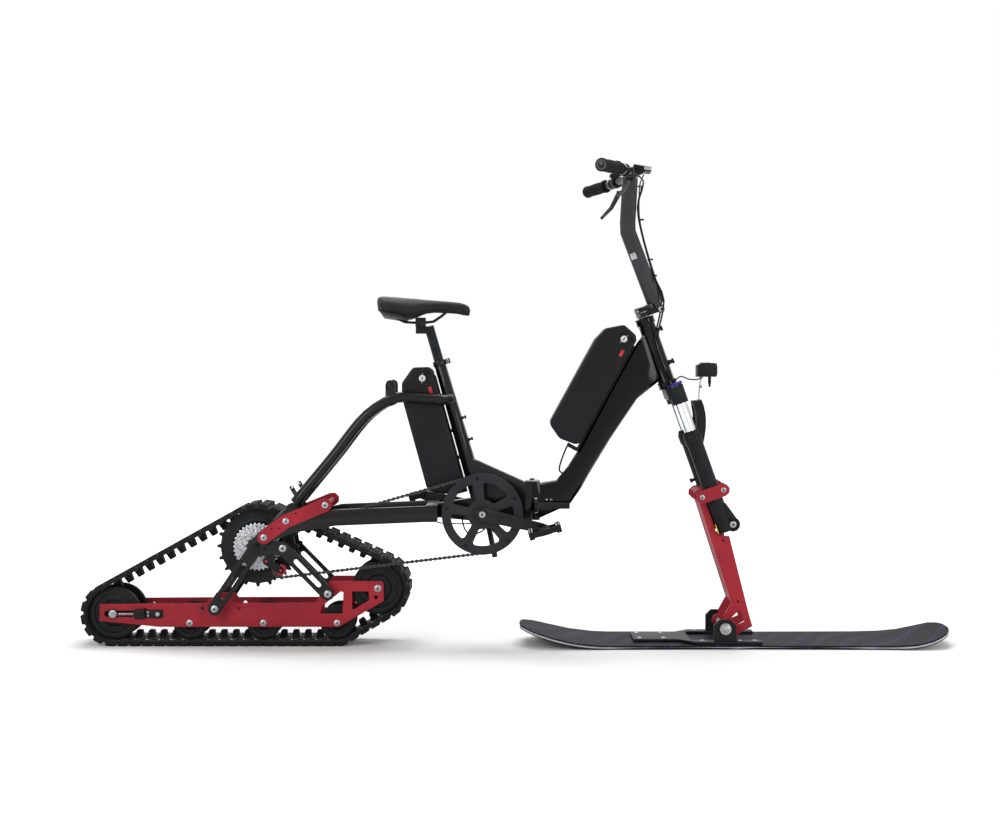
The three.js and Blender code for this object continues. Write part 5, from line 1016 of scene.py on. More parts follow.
# %% Chain
CHAIN_Y, CHAIN_HALF, CHAIN_RING, COG = 77.0, 6.35, 105, 22.5
PULLEY_UP, PULLEY_LOW = (-672, 232), (-633, 207)
chain_length, on_chain, chain_out, _ = loop_path([
    (*HUB, COG), (*PULLEY_UP, -16), (*PULLEY_LOW, 20), (*BRACKET, CHAIN_RING)])
links = round(chain_length / (4 * CHAIN_HALF)) * 2
step = chain_length / links


def link_outline(round_end, waist):
    """A link's side plate, two round ends with a waist between them."""
    right_end = [polar(step / 2, 0, round_end, a) for a in (-1.3, -0.65, 0, 0.65, 1.3)]
    return right_end + [(0, waist)] + [(-x, -z) for x, z in right_end] + [(0, -waist)]


def chain_spots(first, stride):
    """Spots every stride half pitches from the first one, turned along the chain."""
    distances = [step * k / 2 for k in range(first, 2 * links, stride)]
    places = [on_chain(distance) for distance in distances]
    return [((x, -CHAIN_Y, z), (0, math.pi / 2 - chain_out(distance), 0))
            for distance, (x, z) in zip(distances, places)]


inner_link, outer_link = bmesh.new(), bmesh.new()
for y0, y1 in ((-2.3, -1.5), (1.5, 2.3)):
    plate(inner_link, [link_outline(4.7, 2.2)], y0, y1)
for y0, y1, pin_from in ((-3.3, -2.4, -3.696), (2.4, 3.3, 3.3)):
    plate(outer_link, [link_outline(4.9, 2.4)], y0, y1)
    turned(outer_link, (step / 2, pin_from, 0), (0, 1, 0), [(0, 0), (1.7, 0), (1.7, 0.4), (0, 0.4)],
           8)
rollers = bmesh.new()
turned(rollers, (0, -1.5, 0), (0, 1, 0), [(0, 0), (3.7, 0), (3.7, 3), (0, 3)], 10)
inner_links = set_down("chain_inner_links", "frame", inner_link, chain_steel, chain_spots(1, 4))
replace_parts(inner_links, "chain")
set_down("chain_outer_links", "frame", outer_link, chain_steel, chain_spots(3, 4))
set_down("chain_rollers", "frame", rollers, steel, chain_spots(0, 2))
print("chain", round(chain_length), "mm in", links, "links")

# %% Pulleys
for name, place, radius, teeth in (("pulley_upper", PULLEY_UP, 12.2, 11),
                                   ("pulley_lower", PULLEY_LOW, 16.2, 13)):
    pulley = bmesh.new()
    plate(pulley, [toothed(*place, radius - 3.4, radius, teeth, start=0.2),
                   ring_points(*place, 4.6, 14)], -75.4, -78.6)
    wheel = make_piece(name + "_wheel", pulley, name, red_plastic, bevel=0.0003)
    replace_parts(wheel, name)

# %% Derailleur
CAGE_FACE, PIVOT = 84.8, (-640, 257)
END_ARC = (-1.57, -0.9, -0.3, 0.3, 0.9, 1.57)
changer = bmesh.new()
for start, end, wide in ((HUB, PIVOT, 9), (PIVOT, PULLEY_UP, 8.4), (PULLEY_UP, PULLEY_LOW, 9.6)):
    along = math.atan2(end[1] - start[1], end[0] - start[0])
    outline = [polar(*end, wide, along + t) for t in END_ARC]
    outline += [polar(*start, wide, along + math.pi + t) for t in END_ARC]
    plate(changer, [outline], -82.7, -CAGE_FACE)
turned(changer, (PIVOT[0], -84.6, PIVOT[1]), (0, -1, 0),
       [(0, 0), (10, 0), (10, 1), (9, 1.6), (0, 1.6)], 24)
turned(changer, (-655, -84.6, 262), (0, -1, 0), [(0, 0), (6, 0), (5.4, 1.8), (0, 1.8)], 18)
make_piece("derailleur_cover", changer, "frame", cast, bevel=0.0005)
set_down("pulley_bolts", "frame", socket_bolt(3.4, 1.6), red_plastic,
         right_side([PULLEY_UP, PULLEY_LOW], CAGE_FACE))
spring = bmesh.new()
coil = []
for t in range(36):
    x, z = polar(*PIVOT, 11.4, t * 0.5)
    coil.append((x, -85.4 - t * 0.11, z))
run(spring, coil, [polar(0, 0, 0.8, a) for a in (0, 1.05, 2.09, 3.14, 4.19, 5.24)])
make_piece("derailleur_spring", spring, "frame", steel)

# %% Torque arm bolts
set_bolts("torque_arm_bolts", "frame", 5.4, 4,
          both_sides([(-676, 297.5), (-617, 341), (-512, 384)], 103.8), washer=8.6)
set_down("torque_arm_screws", "frame", socket_bolt(2.2, 1.2), dark_steel,
         both_sides([(-655, 320), (-634, 322), (-590, 362)], 103.4))
set_down("stay_bolts", "frame", socket_bolt(3.2, 2.4), dark_steel,
         both_sides([(-592, 362), (-604, 431)], 98.5))

# %% [markdown]
# ## Pedals
# A moulded pedal has two cross bars with raised pins, side rails and an axle. The solids give the
# frame, and the pins are repeats on both faces.

# %% Pedal pins
PEDAL_TILT, PEDAL_HALF_HIGH = math.radians(-16), 10
for word, side, (x, z) in (("right", RIGHT, (75.1, 321.8)), ("left", LEFT, (-257.1, 394.2))):
    spots = []
    for ahead in (-40, -33, 33, 40):
        for y in (124, 140, 163, 186, 202):
            for up in (PEDAL_HALF_HIGH, -PEDAL_HALF_HIGH):
                spots.append(((x + ahead * math.cos(PEDAL_TILT) + up * math.sin(PEDAL_TILT),
                               side * y,
                               z - ahead * math.sin(PEDAL_TILT) + up * math.cos(PEDAL_TILT)),
                              (0, PEDAL_TILT if up > 0 else PEDAL_TILT + math.pi, 0)))
    pin = spun(([(0, -1), (1.9, -1), (1.9, 1.5), (1.2, 2.3), (0, 2.3)], 10))
    set_down(f"pedal_pins_{word}", f"pedal_{word}", pin, silver, spots)

# %% [markdown]
# ## Saddle
# The real saddle is foam under a thin cover on a stiff base, so it has a crown and soft sides
# rather than flat faces. The form starts a little small, a voxel remesh makes it even, and a cloth
# simulation with pressure swells it; the underside is pinned, because it is glued to the base. The
# seam and its stitches are laid on the swollen cover.

# %% The form under the cover
SADDLE_REAR, SADDLE_LONG, SADDLE_HALF = -382.0, 260.0, 78.0
SADDLE_LOW, SADDLE_HIGH = 888.0, 62.0
saddle_shape = [
    (0, 0.3, 0.92, 0.6), (0.015, 0.68, 0.99, 0.36), (0.07, 0.93, 1, 0.22), (0.16, 1, 0.97, 0.16),
    (0.25, 0.93, 0.935, 0.1), (0.3, 0.86, 0.915, 0.03), (0.35, 0.78, 0.895, 0.0),
    (0.4, 0.66, 0.87, 0.06), (0.47, 0.52, 0.85, 0.18), (0.53, 0.43, 0.83, 0.26),
    (0.62, 0.34, 0.81, 0.3), (0.78, 0.27, 0.765, 0.27), (0.86, 0.26, 0.745, 0.25),
    (0.94, 0.24, 0.68, 0.18), (0.985, 0.19, 0.58, 0.16), (1, 0.1, 0.42, 0.24)]


def saddle_sections(draw_in, tub=False):
    """Closed sections along the saddle, drawn in by some millimetres; tub gives the base's."""
    sections = []
    for along, wide, top, under in saddle_shape:
        x = SADDLE_REAR + draw_in + along * (SADDLE_LONG - 2 * draw_in)
        half, base = wide * SADDLE_HALF - draw_in, SADDLE_LOW + under * SADDLE_HIGH
        rise = SADDLE_LOW + top * SADDLE_HIGH - draw_in - base
        drop = 15 if 0.05 < along < 0.32 else 4
        if tub:
            outline = [(0, 3), (0.8, 3), (0.9, 6), (0.94, 1), (0.82, -4), (0.5, -0.7 * drop),
                       (0, -drop)]
        else:
            outline = [(0, rise), (0.4, rise * 0.975), (0.75, rise * 0.87), (0.96, rise * 0.58),
                       (1, rise * 0.26), (0.92, 0), (0, 0)]
        sections.append([(x, half * share, base + up) for share, up in outline]
                        + [(x, -half * share, base + up) for share, up in outline[-2:0:-1]])
    return sections


def skin_of(loops):
    bm = bmesh.new()
    skin(bm, loops)
    return bm


# %% Swell a pad
CLOTH_FRAMES, PRESSURE = 20, 4


def swell(name, bm, voxel, cap, pinned):
    """Evens the form, swells it as cloth with pressure and gives a plain mesh; cap is the farthest
    that a point may move."""
    form = bpy.data.objects.new(name + "_form", to_mesh(name, bm))
    scene.collection.objects.link(form)
    form.modifiers.new("round", "SUBSURF").levels = 2
    even = form.modifiers.new("even", "REMESH")
    even.mode, even.voxel_size = "VOXEL", voxel
    start = evaluated_mesh(form, name)
    bpy.data.objects.remove(form)
    pad = bpy.data.objects.new(name + "_cloth", start)
    scene.collection.objects.link(pad)
    held = pad.vertex_groups.new(name="held")
    held.add([v.index for v in start.vertices if pinned(v.normal)], 1.0, "REPLACE")
    cloth = pad.modifiers.new("cloth", "CLOTH")
    cloth.settings.quality, cloth.settings.mass = 6, 0.3
    cloth.settings.use_pressure, cloth.settings.uniform_pressure_force = True, PRESSURE
    cloth.settings.vertex_group_mass = "held"
    cloth.settings.effector_weights.gravity = 0
    cloth.collision_settings.use_collision = False
    cloth.point_cache.frame_start, cloth.point_cache.frame_end = 1, CLOTH_FRAMES
    for frame_number in range(1, CLOTH_FRAMES + 1):
        scene.frame_set(frame_number)
        bpy.context.view_layer.update()
    swollen = evaluated_mesh(pad, name)
    for before, after in zip(start.vertices, swollen.vertices):
        move = after.co - before.co
        after.co = before.co + move * min(1, cap / max(move.length, 1e-9))
    bpy.data.objects.remove(pad)
    scene.frame_set(1)
    return swollen


# %% The cover
saddle_mesh = swell("saddle_cover", skin_of(saddle_sections(2.5)), 0.005, 0.004,
                    lambda normal: normal.z < -0.3)
saddle_cover = fit_piece("saddle_cover", saddle_mesh, "seat", leather)
saddle_cover.modifiers.clear()
for face in saddle_mesh.polygons:
    face.use_smooth = True
fine = saddle_cover.modifiers.new("fine", "SUBSURF")
fine.levels = fine.render_levels = 1
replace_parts(saddle_cover, "saddle")
print("saddle cover faces", len(saddle_mesh.polygons))

# %% Base, seam and stitches
SEAM_POINTS, SEAM_FROM, SEAM_SPAN, SEAM_HIGH = 46, 0.03, 0.94, 0.45
make_piece("saddle_tub", skin_of(saddle_sections(4, tub=True)), "seat", plastic)


def side_of_saddle(along, side):
    """A place near the cover's side, at a share of its length, read from the saddle's shape."""
    k = max(i for i, row in enumerate(saddle_shape) if row[0] <= along)
    a, b = saddle_shape[k], saddle_shape[min(k + 1, len(saddle_shape) - 1)]
    t = (along - a[0]) / max(b[0] - a[0], 1e-6)
    wide, top, under = (a[i] + (b[i] - a[i]) * t for i in (1, 2, 3))
    return Vector((SADDLE_REAR + along * SADDLE_LONG, side * wide * SADDLE_HALF,
                   SADDLE_LOW + (under + (top - under) * SEAM_HIGH) * SADDLE_HIGH)) * MM


seam, stitches = bmesh.new(), []
for side in (LEFT, RIGHT):
    line = []
    for i in range(SEAM_POINTS):
        along = SEAM_FROM + SEAM_SPAN * i / (SEAM_POINTS - 1)
        _, hit, normal, _ = saddle_cover.closest_point_on_mesh(side_of_saddle(along, side))
        line.append(hit * 1000 + normal * 0.3)
        stitches.append(((hit * 1000 + normal * 0.5 + Vector((0, 0, 2.6)))[:], facing(normal)))
    stitches.pop()
    run(seam, line, round_section(0.75))
make_piece("saddle_seam", seam, "seat", leather)
set_down("saddle_stitches", "seat", blocks([((-1.7, -0.35, -0.3), (1.7, 0.35, 0.35), 0.15)]),
         thread, stitches)
set_bolts("rail_clamp_bolts", "seat", 5.2, 3.4,
          [((-260.3, y, 911.6), UPWARD) for y in (-24, 24)], washer=6.6)

# %% [markdown]
# ## Batteries and docks
# Each battery is a moulded case with round edges, a part line, a key lock and a red charge window.
# The outline is written once in the leaning line of its tube and skinned through rings that draw in
# towards both faces. A rail under the front one joins its dock with the tube.


# %% Leaning lines
def leaned(x, z, lean):
    """Places by how far ahead of a leaning line they are, across the bike, and along the line."""
    a = math.radians(lean)
    return lambda ahead, y, along: (x + ahead * math.cos(a) - along * math.sin(a), y,
                                    z + ahead * math.sin(a) + along * math.cos(a))


behind_seat, along_tube = leaned(-112.126, 351.862, 15.37), leaned(173.108, 530.745, -28.72)


def drawn_in(outline, depth):
    """The outline moved inward by a depth, point by point."""
    moved = []
    for i, (x, z) in enumerate(outline):
        (ax, az), (bx, bz) = outline[i - 1], outline[(i + 1) % len(outline)]
        tangent = Vector((bx - ax, bz - az)).normalized()
        moved.append((x - tangent.y * depth, z + tangent.x * depth))
    return moved


# %% Battery cases
BATTERY_FACE, BATTERY_DEEP, BATTERY_HIGH = -5.84, 101.0, 354.0
case_shares = [(0, 0.06), (0.44, -0.004), (1, 0.018), (1, 0.94), (0.92, 0.975), (0.5, 1.004),
               (0.1, 0.91), (0, 0.8)]
case_radii = [22, 26, 20, 8, 12, 16, 18, 20]
left_levels = [(45, 16), (45, 9), (44.6, 5.5), (43, 2.6), (40, 0.9), (35, 0.2), (29, 0),
               (28.2, 0.9), (27.2, 0.9), (26.4, 0)]
case_levels = left_levels + [(-y, depth) for y, depth in reversed(left_levels)]


def battery(name, place, low):
    """A case with its lock, key slot, window and screws, from low on up its tube's line."""
    def at_level(outline, y):
        return [place(ahead, y, along) for ahead, along in outline]

    corners = [(BATTERY_FACE - BATTERY_DEEP * (1 - u), low + v * BATTERY_HIGH)
               for u, v in case_shares]
    outline = rounded(corners, case_radii)
    case = skin_of([at_level(drawn_in(outline, depth), y) for y, depth in case_levels])
    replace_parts(make_piece(name + "_case", case, name, shell), name)
    lock_at, window_at = (BATTERY_FACE - 33, low + 320), (BATTERY_FACE - 20, low + 283)
    square, pane = soft_square(lock_at, 13.5, 13.5, 3, 4), soft_square(window_at, 4.4, 10, 3.6, 5)
    make_piece(name + "_lock_plate", skin_of([at_level(square, y) for y in (-44.2, -46.2)]), name,
               gloss, bevel=0.0005)
    make_piece(name + "_charge_window", skin_of([at_level(pane, y) for y in (-44.4, -45.7)]), name,
               red_plastic, bevel=0.0004)
    turned_piece(name + "_key_lock", name, lock_ring, place(lock_at[0], -45.8, lock_at[1]),
                 (0, -1, 0), [(0, 0), (9, 0), (9, 1.6), (8.2, 2.3), (6.4, 2.3), (6.2, 1.6),
                              (2.6, 1.6), (2.4, 0.6), (0, 0.6)], 32)
    slot = blocks([((lock_at[0] - 0.9, -47.9, lock_at[1] - 4.5),
                    (lock_at[0] + 0.9, -46.0, lock_at[1] + 4.5))], place)
    make_piece(name + "_key_slot", slot, name, gloss)
    set_down(name + "_lock_screws", name, socket_bolt(1.5, 0.8), silver, [
        (place(lock_at[0] + s * 4, -46.1, lock_at[1] + s * 11.4), TO_RIGHT) for s in (1, -1)])
    set_down(name + "_case_screws", name, socket_bolt(2.2, 0.8), dark_steel, [
        (place(ahead, -44.9, low + up), TO_RIGHT)
        for ahead, up in ((-18, 60), (-18, 210), (-88, 60), (-88, 250))])


battery("rear_battery", behind_seat, 76)
battery("front_battery", along_tube, 0)
make_piece("front_dock_rail", blocks([((-2.8, -16, -8), (-0.3, 16, 319))], along_tube),
           "front_frame", plastic)

# %% [markdown]
# ## Frame fittings
# Small parts sell the scale of a frame: bosses with their bolts, the clamp screw, hinge pin caps,
# weld beads where tubes meet and bearing rings in the head tube.

# %% Bosses, pins and rings
seat_line, steer_line = leaned(*BRACKET, 16.2), leaned(415.6, 707.2, 19.5)
steer_up, steer_ahead = (Vector(steer_line(*end)) - Vector(steer_line(0, 0, 0))
                         for end in ((0, 0, 1), (1, 0, 0)))
off_seat_tube = facing((0.96, 0, 0.279))
peg = spun(([(0, -4), (4.6, -4), (4.6, 3), (3, 3.6), (3, 7), (5, 7.4), (5, 11), (4.2, 11.8),
             (0, 11.8)], 12))
set_down("bottle_bosses", "frame", peg, dark_steel, [
    (seat_line(17.6, 0, 262), off_seat_tube), (seat_line(18.6, 0, 200), off_seat_tube)])
set_bolts("seat_clamp_bolt", "frame", 4.4, 4, [(seat_line(23, -7.2, 422.7), TO_RIGHT)])
set_down("seat_clamp_nut", "frame", hex_nut(4.6, 3), silver,
         [(seat_line(23, 7.2, 422.7), TO_LEFT)])
set_down("hinge_pin_caps", "frame", socket_bolt(6.4, 3.2), dark_steel,
         [((45.5, 41, 443), UPWARD), ((45.5, 41, 337), DOWNWARD)])
set_bolts("latch_caps", "frame_latch", 5.4, 2.6,
          [((54, -38.3, 396), UPWARD), ((54, -38.3, 360), DOWNWARD)])
set_bolts("hinge_screws", "front_frame", 3, 2.2, right_side([(84, 392), (96, 392)], 24.5))
rings, bosses = bmesh.new(), bmesh.new()
for along in (-8.2, 8.2, 174.8, 191.2):
    turned(rings, steer_line(0, 0, along - 0.9), steer_up,
           [(20, 0), (26.7, 0), (27.1, 0.5), (27.1, 1.3), (26.7, 1.8), (20, 1.8)], 48, closed=True)
make_piece("head_bearing_rings", rings, "front_frame", dark_steel)
for along in (55, 150):
    turned(bosses, steer_line(20, 0, along), steer_ahead,
           [(0, 0), (7, 0), (7, 6), (5, 8), (5, 12), (7.5, 13), (7.5, 17), (6.5, 18), (0, 18)], 18)
make_piece("head_tube_bosses", bosses, "front_frame", plastic)

# %% Weld beads
BEAD_POINTS, BEAD_RIPPLES, BEAD_THICK = 64, 21, 1.6


def weld_bead(bm, centre, radius):
    """A rippled bead round a tube that lies across the bike."""
    spin = Vector((0, 1, 0)).to_track_quat("Z", "Y")
    points = []
    for i in range(BEAD_POINTS):
        a = TURN * i / BEAD_POINTS
        ripple = a * BEAD_RIPPLES
        flat = polar(0, 0, radius + 0.35 * math.sin(ripple), a)
        points.append(Vector(centre) + spin @ Vector((*flat, 0.3 * math.cos(ripple))))
    run(bm, points, round_section(BEAD_THICK), closed=True)


welds = bmesh.new()
for side in (RIGHT, LEFT):
    weld_bead(welds, (BRACKET[0], side * 22.63, BRACKET[1]), 22.4)
for side in (RIGHT, LEFT):
    weld_bead(welds, seat_line(0, side * 16, 320), 15)
make_piece("weld_beads", welds, "frame", paint)

# %% [markdown]
# ## Fork
# Chrome stanchions slide into dark lowers. Each leg has a cap on the crown, a wiper and a shoulder
# where it enters the lower, and a lug with a bolt at its foot; the right cap is violet with a small
# lever. Turned profiles along the leaning legs give nearly all of them.

# %% Stanchions, caps and wipers
LEG_AHEAD, LEG_OUT, FOOT = 10, 65, (584.2, 329.9)


def on_leg(side, along, ahead=LEG_AHEAD):
    return steer_line(ahead, side * LEG_OUT, along)


for word, side, cap_finish in (("right", RIGHT, purple), ("left", LEFT, cast)):
    tube, cap = bmesh.new(), bmesh.new()
    rod(tube, on_leg(side, -272), on_leg(side, -7), 16.5, 48, 0.6)
    stanchion = make_piece(f"stanchion_tube_{word}", tube, "fork_upper", bright)
    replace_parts(stanchion, f"stanchion_{word}")
    turned(cap, on_leg(side, -8.6), steer_up, [
        (0, 0), (18.6, 0), (19, 0.6), (19, 5.4), (18, 6.6), (13, 6.9), (12.4, 8.6), (0, 8.8)], 40)
    if side == RIGHT:
        turned(cap, on_leg(side, -4, ahead=22), steer_ahead,
               [(0, 0), (4.2, 0), (4.2, 9), (3.4, 10.4), (0, 10.4)], 20)
    make_piece(f"fork_cap_{word}", cap, "fork_upper", cap_finish, bevel=0.0003)
    turned_piece(f"fork_wiper_{word}", "fork_lower", rubber, on_leg(side, -143.2), steer_up, [
        (16.9, 0), (21.6, 0), (21.6, 2.4), (20.4, 3), (20.4, 4.4), (19.4, 5), (17.6, 6.6),
        (16.9, 6.6)], 40, closed=True)

# %% Shoulders, lugs and pegs
shoulders = bmesh.new()
lug_outline = [polar(*FOOT, 20, math.radians(a)) for a in range(-150, 61, 15)]
lug_outline += [steer_line(ahead, 0, along)[::2] for ahead, along in (
    (34, -352), (20, -338), (14, -420))]
for side in (LEFT, RIGHT):
    turned(shoulders, on_leg(side, -144), steer_up,
           [(22.4, -34), (25.2, -26), (25.4, -10), (24, -2), (22.4, -0.5)], 40, closed=True)
    plate(shoulders, [lug_outline], side * 56, side * 74)
make_piece("leg_shoulders", shoulders, "fork_lower", plastic, bevel=0.0012)
peg = spun(([(0, -3), (4.4, -3), (4.4, 6), (6, 7), (6, 12), (5, 13), (0, 13)], 14))
set_down("leg_pegs", "fork_lower", peg, plastic,
         [(on_leg(LEFT, along, ahead=-12), facing(-steer_ahead)) for along in (-278, -352)])
make_piece("leg_strip", blocks([((-12.6, -78, -423), (-10.6, -66, -397))], steer_line),
           "fork_lower", yellow, bevel=0.0003)

# %% Bolts of the fork and the ski's strut
set_bolts("fork_foot_bolts", "fork_lower", 6.8, 4, both_sides([FOOT], 79.8), washer=8.8)
set_bolts("strut_clamp_bolts", "fork_lower", 5.2, 3.4,
          both_sides([(499.7, 403.9), (556.7, 424.1)], 94.1), washer=6.8)
turned_piece("crown_bolt", "fork_upper", steel, steer_line(24, 0, -30), steer_ahead,
             [(0, 0), (5, 0), (5, 4), (4.2, 5), (2.2, 5), (2, 3), (0, 3)], 16)
set_bolts("lamp_strip_bolt", "fork_lower", 4.4, 3.2, both_sides([(506, 700)], 6.4))
set_down("ski_pivot_bolts", "ski", hex_nut(11.5, 6), silver, both_sides([(561, 52)], 103.4))
set_down("strut_plate_screws", "fork_lower", socket_bolt(3, 2), dark_steel,
         both_sides([(546, 330), (560, 285), (600, 120)], 60.4))

# %% [markdown]
# ## Headlamp
# A finned black body with a clear lens in front of a chrome reflector. The lens is a shallow dome
# and the reflector a turned bowl, so the lamp reads as a lamp from the front as well as from the
# side.

# %% Lens, reflector and fins
LAMP, FORWARD = (545, 0, 746), (1, 0, 0)
clear, clear_tree, clear_shader = new_material("clear lens")
clear_shader.inputs["Transmission Weight"].default_value = 0.85
clear_shader.inputs["IOR"].default_value = 1.49
clear_roughness = mapped(clear_tree, noise_on(clear_tree, 120), 0.03, 0.1)
link_nodes(clear_tree, (clear_roughness, clear_shader.inputs["Roughness"]))
turned_piece("lamp_reflector", "headlight", bright, LAMP, FORWARD, [
    (0, -0.4), (15.6, -0.4), (16.6, 0.6), (16.6, 1.6), (13, 1.4), (9, 0.7), (4, 0.5), (3, 2.2),
    (0, 2.6)], 40)
turned_piece("lamp_lens", "headlight", clear, LAMP, FORWARD, [
    (0, 3), (10, 2.8), (15, 2.2), (16.4, 1.8), (16.4, 3), (10, 4.4), (0, 5)], 40)
turned_piece("lamp_rim", "headlight", plastic, LAMP, FORWARD, [
    (16.6, -1), (18.6, -1), (18.6, 4), (17.8, 5), (16.6, 5)], 48, closed=True)
set_down("lamp_fins", "headlight", blocks([((-0.9, -19, -0.5), (0.9, 19, 2.4), 0.4)]), plastic,
         [((507 + 5.6 * i, 0, 763.4 + 0.1 * i), UPWARD) for i in range(5)])
plug = bmesh.new()
rod(plug, (530, -6, 727.5), (530, -6, 707), 4.2, 16, 0.8)
rod(plug, (530, -6, 707), (530, -6, 699), 3, 16, 0.8)
make_piece("lamp_plug", plug, "headlight", rubber)

# %% [markdown]
# ## Handlebar
# Ribbed grips, a display with a dark screen, clamp bolts and cable ties. A grip is a profile turned
# about the leaning bar end, with a flange inside, ribs along it and a pale ring at its hollow end.

# %% Grips
GRIP_RIBS, RIB_PITCH = 24, 4.3


def bar_end(side, inward=0):
    """A place on the bar's straight end, some millimetres inward from its tip."""
    a, b = Vector((214, side * 330, 1268)), Vector((270, side * 200, 1274))
    return a + (b - a).normalized() * inward


grip_profile = [(0, 14), (8.6, 14), (9.4, 0), (16.4, 0), (17.6, 1.4), (17.6, 4.6), (16.4, 6)]
for i in range(GRIP_RIBS):
    along = 7.5 + i * RIB_PITCH
    palm = 1.1 * math.sin(math.pi * (along - 7) / 105) ** 2
    grip_profile += [(15 + palm, along), (16 + palm, along + 1), (16 + palm, along + 2.8),
                     (15 + palm, along + 3.6)]
grip_profile += [(15.6, 112.5), (18.6, 114.5), (18.9, 118), (17.6, 121), (11.4, 122), (11.4, 60),
                 (0, 60)]
for word, side in (("right", RIGHT), ("left", LEFT)):
    tip, inward = bar_end(side), bar_end(side, 1) - bar_end(side)
    grip = turned_piece(f"grip_rubber_{word}", "stem", grip_rubber, tip, inward, grip_profile, 36)
    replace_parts(grip, f"grip_{word}")
    turned_piece(f"grip_ring_{word}", "stem", grip_ring, tip, inward,
                 [(9.2, -0.2), (13.6, -0.2), (14.2, 0.6), (9.2, 0.6)], 32, closed=True)

# %% Display
tilted = leaned(345, 1296, -10)
screen = skin_of([[tilted(u, v, up) for u, v in soft_square((0, 0), 21, 27, 4, 4)]
                  for up in (6.3, 7.5)])
make_piece("display_screen", screen, "stem", gloss, bevel=0.0004)
bezel = blocks([((u0, v0, 5), (u1, v1, 7.4), 0.5) for u0, v0, u1, v1 in (
    (-25.4, -31.3, -22.4, 31.3), (22.4, -31.3, 25.4, 31.3), (-22.4, -31.3, 22.4, -28.2),
    (-22.4, 28.2, 22.4, 31.3))], tilted)
make_piece("display_bezel", bezel, "stem", silver, bevel=0.0003)
ears = blocks([((4, side * 31.2, -3.4), (24.6, side * 32.4, 5)) for side in (LEFT, RIGHT)], tilted)
make_piece("display_sides", ears, "stem", silver, bevel=0.0003)


# %% Controls and clamps
def on_bar(side, across):
    """The bar's middle line between its bend and its straight end."""
    return Vector((313 - 43 * (across - 60) / 140, side * across, 1281 - 7 * (across - 60) / 140))


control = bmesh.new()
for side, start, end in ((LEFT, 138, 158), (RIGHT, 140, 154)):
    along = on_bar(side, end) - on_bar(side, start)
    high = along.length
    turned(control, on_bar(side, start), along, [
        (11.4, 0), (16.4, 0), (17, 0.8), (17, high - 0.8), (16.4, high), (11.4, high)], 36,
        closed=True)
block(control, (266, 136, 1290), (300, 160, 1300), taper=2)
make_piece("bar_controls", control, "stem", plastic, bevel=0.0008)
button = spun(([(0, 0), (3.2, 0), (3.2, 1), (2.6, 1.7), (0, 1.8)], 16))
set_down("control_buttons", "stem", button, rubber,
         [((x, y, 1299.6), UPWARD) for x in (276, 285) for y in (143, 153)])
set_bolts("bar_clamp_bolts", "stem", 3.6, 2.8, [
    ((331.2, y, z), facing(FORWARD)) for y in (-9, 9) for z in (1273, 1289)])
set_bolts("lever_bolts", "stem", 3.2, 2.2, [
    ((292, side * 180.4, 1275.2), facing((1, 0, 0.2))) for side in (LEFT, RIGHT)])

# %% Handlepost and steerer
latch_plate = blocks([((-8, -19.2, -9), (8, -17.4, 9), 0.4)], lambda x, y, z: (
    321 + x * 0.94 - z * 0.34, y, 1056 + z * 0.94 + x * 0.34))
make_piece("post_latch_plate", latch_plate, "stem", silver, bevel=0.0005)
set_bolts("stem_pin_bolts", "stem", 6.4, 3.4, both_sides([(397.2, 911.8)], 21.6), washer=8)
set_bolts("stem_plate_bolts", "fork_upper", 3.4, 3, [
    (steer_line(-13, -24.2, along), TO_RIGHT) for along in (214, 201.5)])
collars = bmesh.new()
for along in (193.2, 206.4, 221.4):
    turned(collars, steer_line(0, 0, along), steer_up, [
        (14.8, 0), (18.8, 0), (19.4, 0.6), (19.4, 2), (18.8, 2.4), (14.8, 2.4)], 48, closed=True)
make_piece("steerer_collars", collars, "fork_upper", silver)

# %% Cable ties
TIE_POINTS, TIE_WIDE, TIE_DEEP = 20, 5.2, 10.4
ties = bmesh.new()
across_post = Vector((0.23, 0, -0.97)).to_track_quat("Z", "X")
for x, z in ((341.6, 1157), (366.5, 1048), (377.5, 1004)):
    loop = []
    for k in range(TIE_POINTS):
        u, v = polar(0, 0, 1, TURN * k / TIE_POINTS)
        loop.append(Vector((x, 0, z)) + across_post @ Vector((TIE_WIDE * u, TIE_DEEP * v, 0)))
    run(ties, loop, [(0.6, -1.8), (0.6, 1.8), (-0.6, 1.8), (-0.6, -1.8)], closed=True)
    block(ties, (x + 5, -2.4, z - 2), (x + 9.4, 2.4, z + 2.6), taper=0.3)
make_piece("cable_ties", ties, "stem", plastic)

# %% [markdown]
# ## Ski
# The board is a laminate: a printed top sheet, a pale line along its side and a dark steel edge
# under it. The print is plain: a few broad diagonal bands from one wave node with distortion, in
# charcoal and violet.


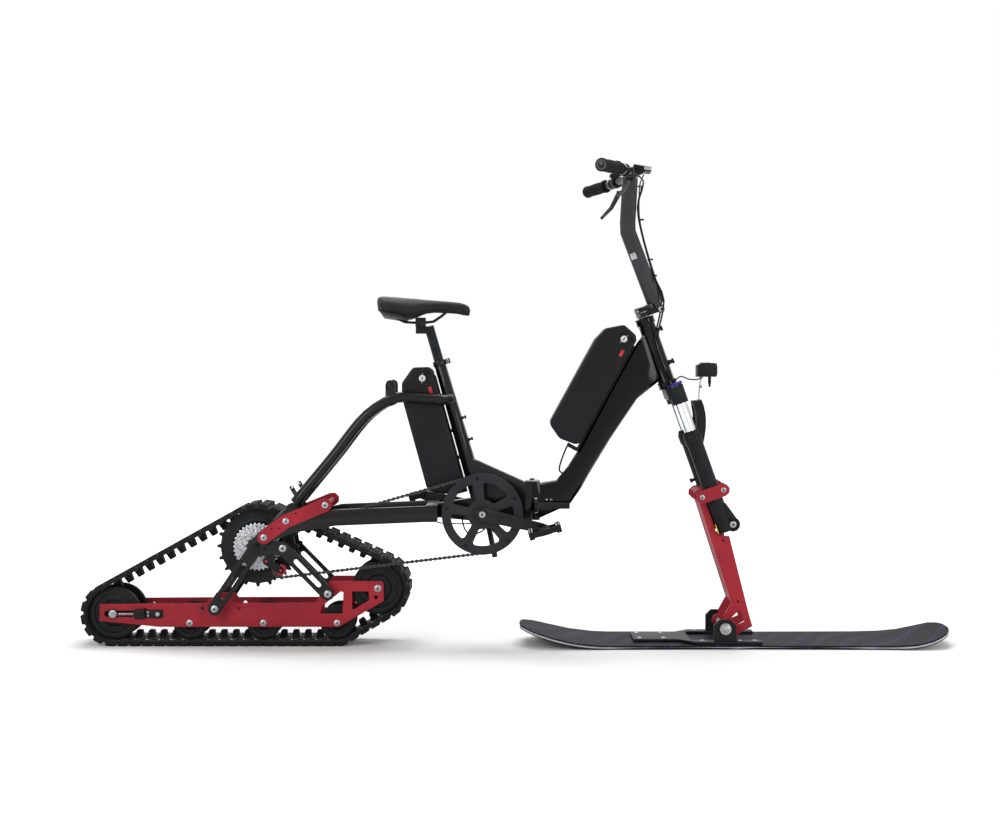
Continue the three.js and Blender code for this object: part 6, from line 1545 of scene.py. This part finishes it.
# %% Top sheet
def top_sheet():
    mat, tree, shader = new_material("ski top sheet")
    shader.inputs["Specular IOR Level"].default_value = 0.03
    place = tree.nodes.new("ShaderNodeTexCoord")
    lay = tree.nodes.new("ShaderNodeMapping")
    lay.inputs["Rotation"].default_value = (0, 0, 0.62)
    lay.inputs["Scale"].default_value = (1, 1, 0.1)
    waves = tree.nodes.new("ShaderNodeTexWave")
    waves.bands_direction = "X"
    for socket, number in (("Scale", 2.1), ("Distortion", 3.4), ("Detail", 1.0),
                           ("Detail Scale", 1.4)):
        waves.inputs[socket].default_value = number
    bands = tree.nodes.new("ShaderNodeValToRGB")
    bands.color_ramp.interpolation = "CONSTANT"
    stops = [(0.0, "1d1d21"), (0.34, "25242d"), (0.56, "342f55"), (0.63, "1f1e25"),
             (0.82, "2a2740"), (0.88, "1b1b1f")]
    for i, (at, colour) in enumerate(stops):
        stop = bands.color_ramp.elements[i] if i < 2 else bands.color_ramp.elements.new(at)
        stop.position, stop.color = at, srgb(colour)
    link_nodes(tree, (place.outputs["Object"], lay.inputs[0]),
               (lay.outputs[0], waves.inputs["Vector"]), (waves.outputs[1], bands.inputs[0]),
               (bands.outputs[0], shader.inputs["Base Color"]),
               (mapped(tree, noise_on(tree, 30), 0.46, 0.6), shader.inputs["Roughness"]))
    return mat


dress(top_sheet(), "ski_board")

# %% Edges and screws
SKI_TAIL, SKI_LONG, SKI_HALF, TAIL_RISE, TIP_RISE = 11, 1165, 128, 44, 36
board_shares = [
    (0, 0.25, 1, 0), (0.008, 0.5, 0.97, 0), (0.03, 0.78, 0.8, 0), (0.07, 0.92, 0.5, 0),
    (0.12, 0.95, 0.2, 0), (0.175, 0.94, 0.03, 0), (0.21, 0.92, 0, 0), (0.5, 0.88, 0, 0),
    (0.8, 0.93, 0, 0), (0.865, 0.97, 0, 0.03), (0.91, 1, 0, 0.15), (0.95, 0.95, 0, 0.45),
    (0.98, 0.76, 0, 0.8), (0.993, 0.5, 0, 0.95), (1, 0.25, 0, 1)]


def board_line(side, lift, out):
    """A line along the board's side, lifted off its sole and set outward by some millimetres."""
    return smooth_route([
        (SKI_TAIL + u * SKI_LONG, side * (wide * SKI_HALF + out),
         tail * TAIL_RISE + tip * TIP_RISE + lift) for u, wide, tail, tip in board_shares], 70)


def flat_section(half_wide, half_high):
    return [(u * half_wide, v * half_high) for u, v in ((-1, -1), (1, -1), (1, 1), (-1, 1))]


edges, side_lines = bmesh.new(), bmesh.new()
for side in (LEFT, RIGHT):
    run(edges, board_line(side, 1.2, 1.0), flat_section(1.2, 1.1))
    run(side_lines, board_line(side, 4.4, 2.0), flat_section(1.3, 1.7))
make_piece("ski_steel_edges", edges, "ski", dark_steel)
make_piece("ski_side_lines", side_lines, "ski", edge_grey)
set_bolts("ski_plate_screws", "ski", 5, 2.6, [
    ((x, side * y, 18.6), UPWARD)
    for x, y in ((334, 42), (400, 42), (500, 88), (640, 88), (600, 88))
    for side in (RIGHT, LEFT)], washer=7)
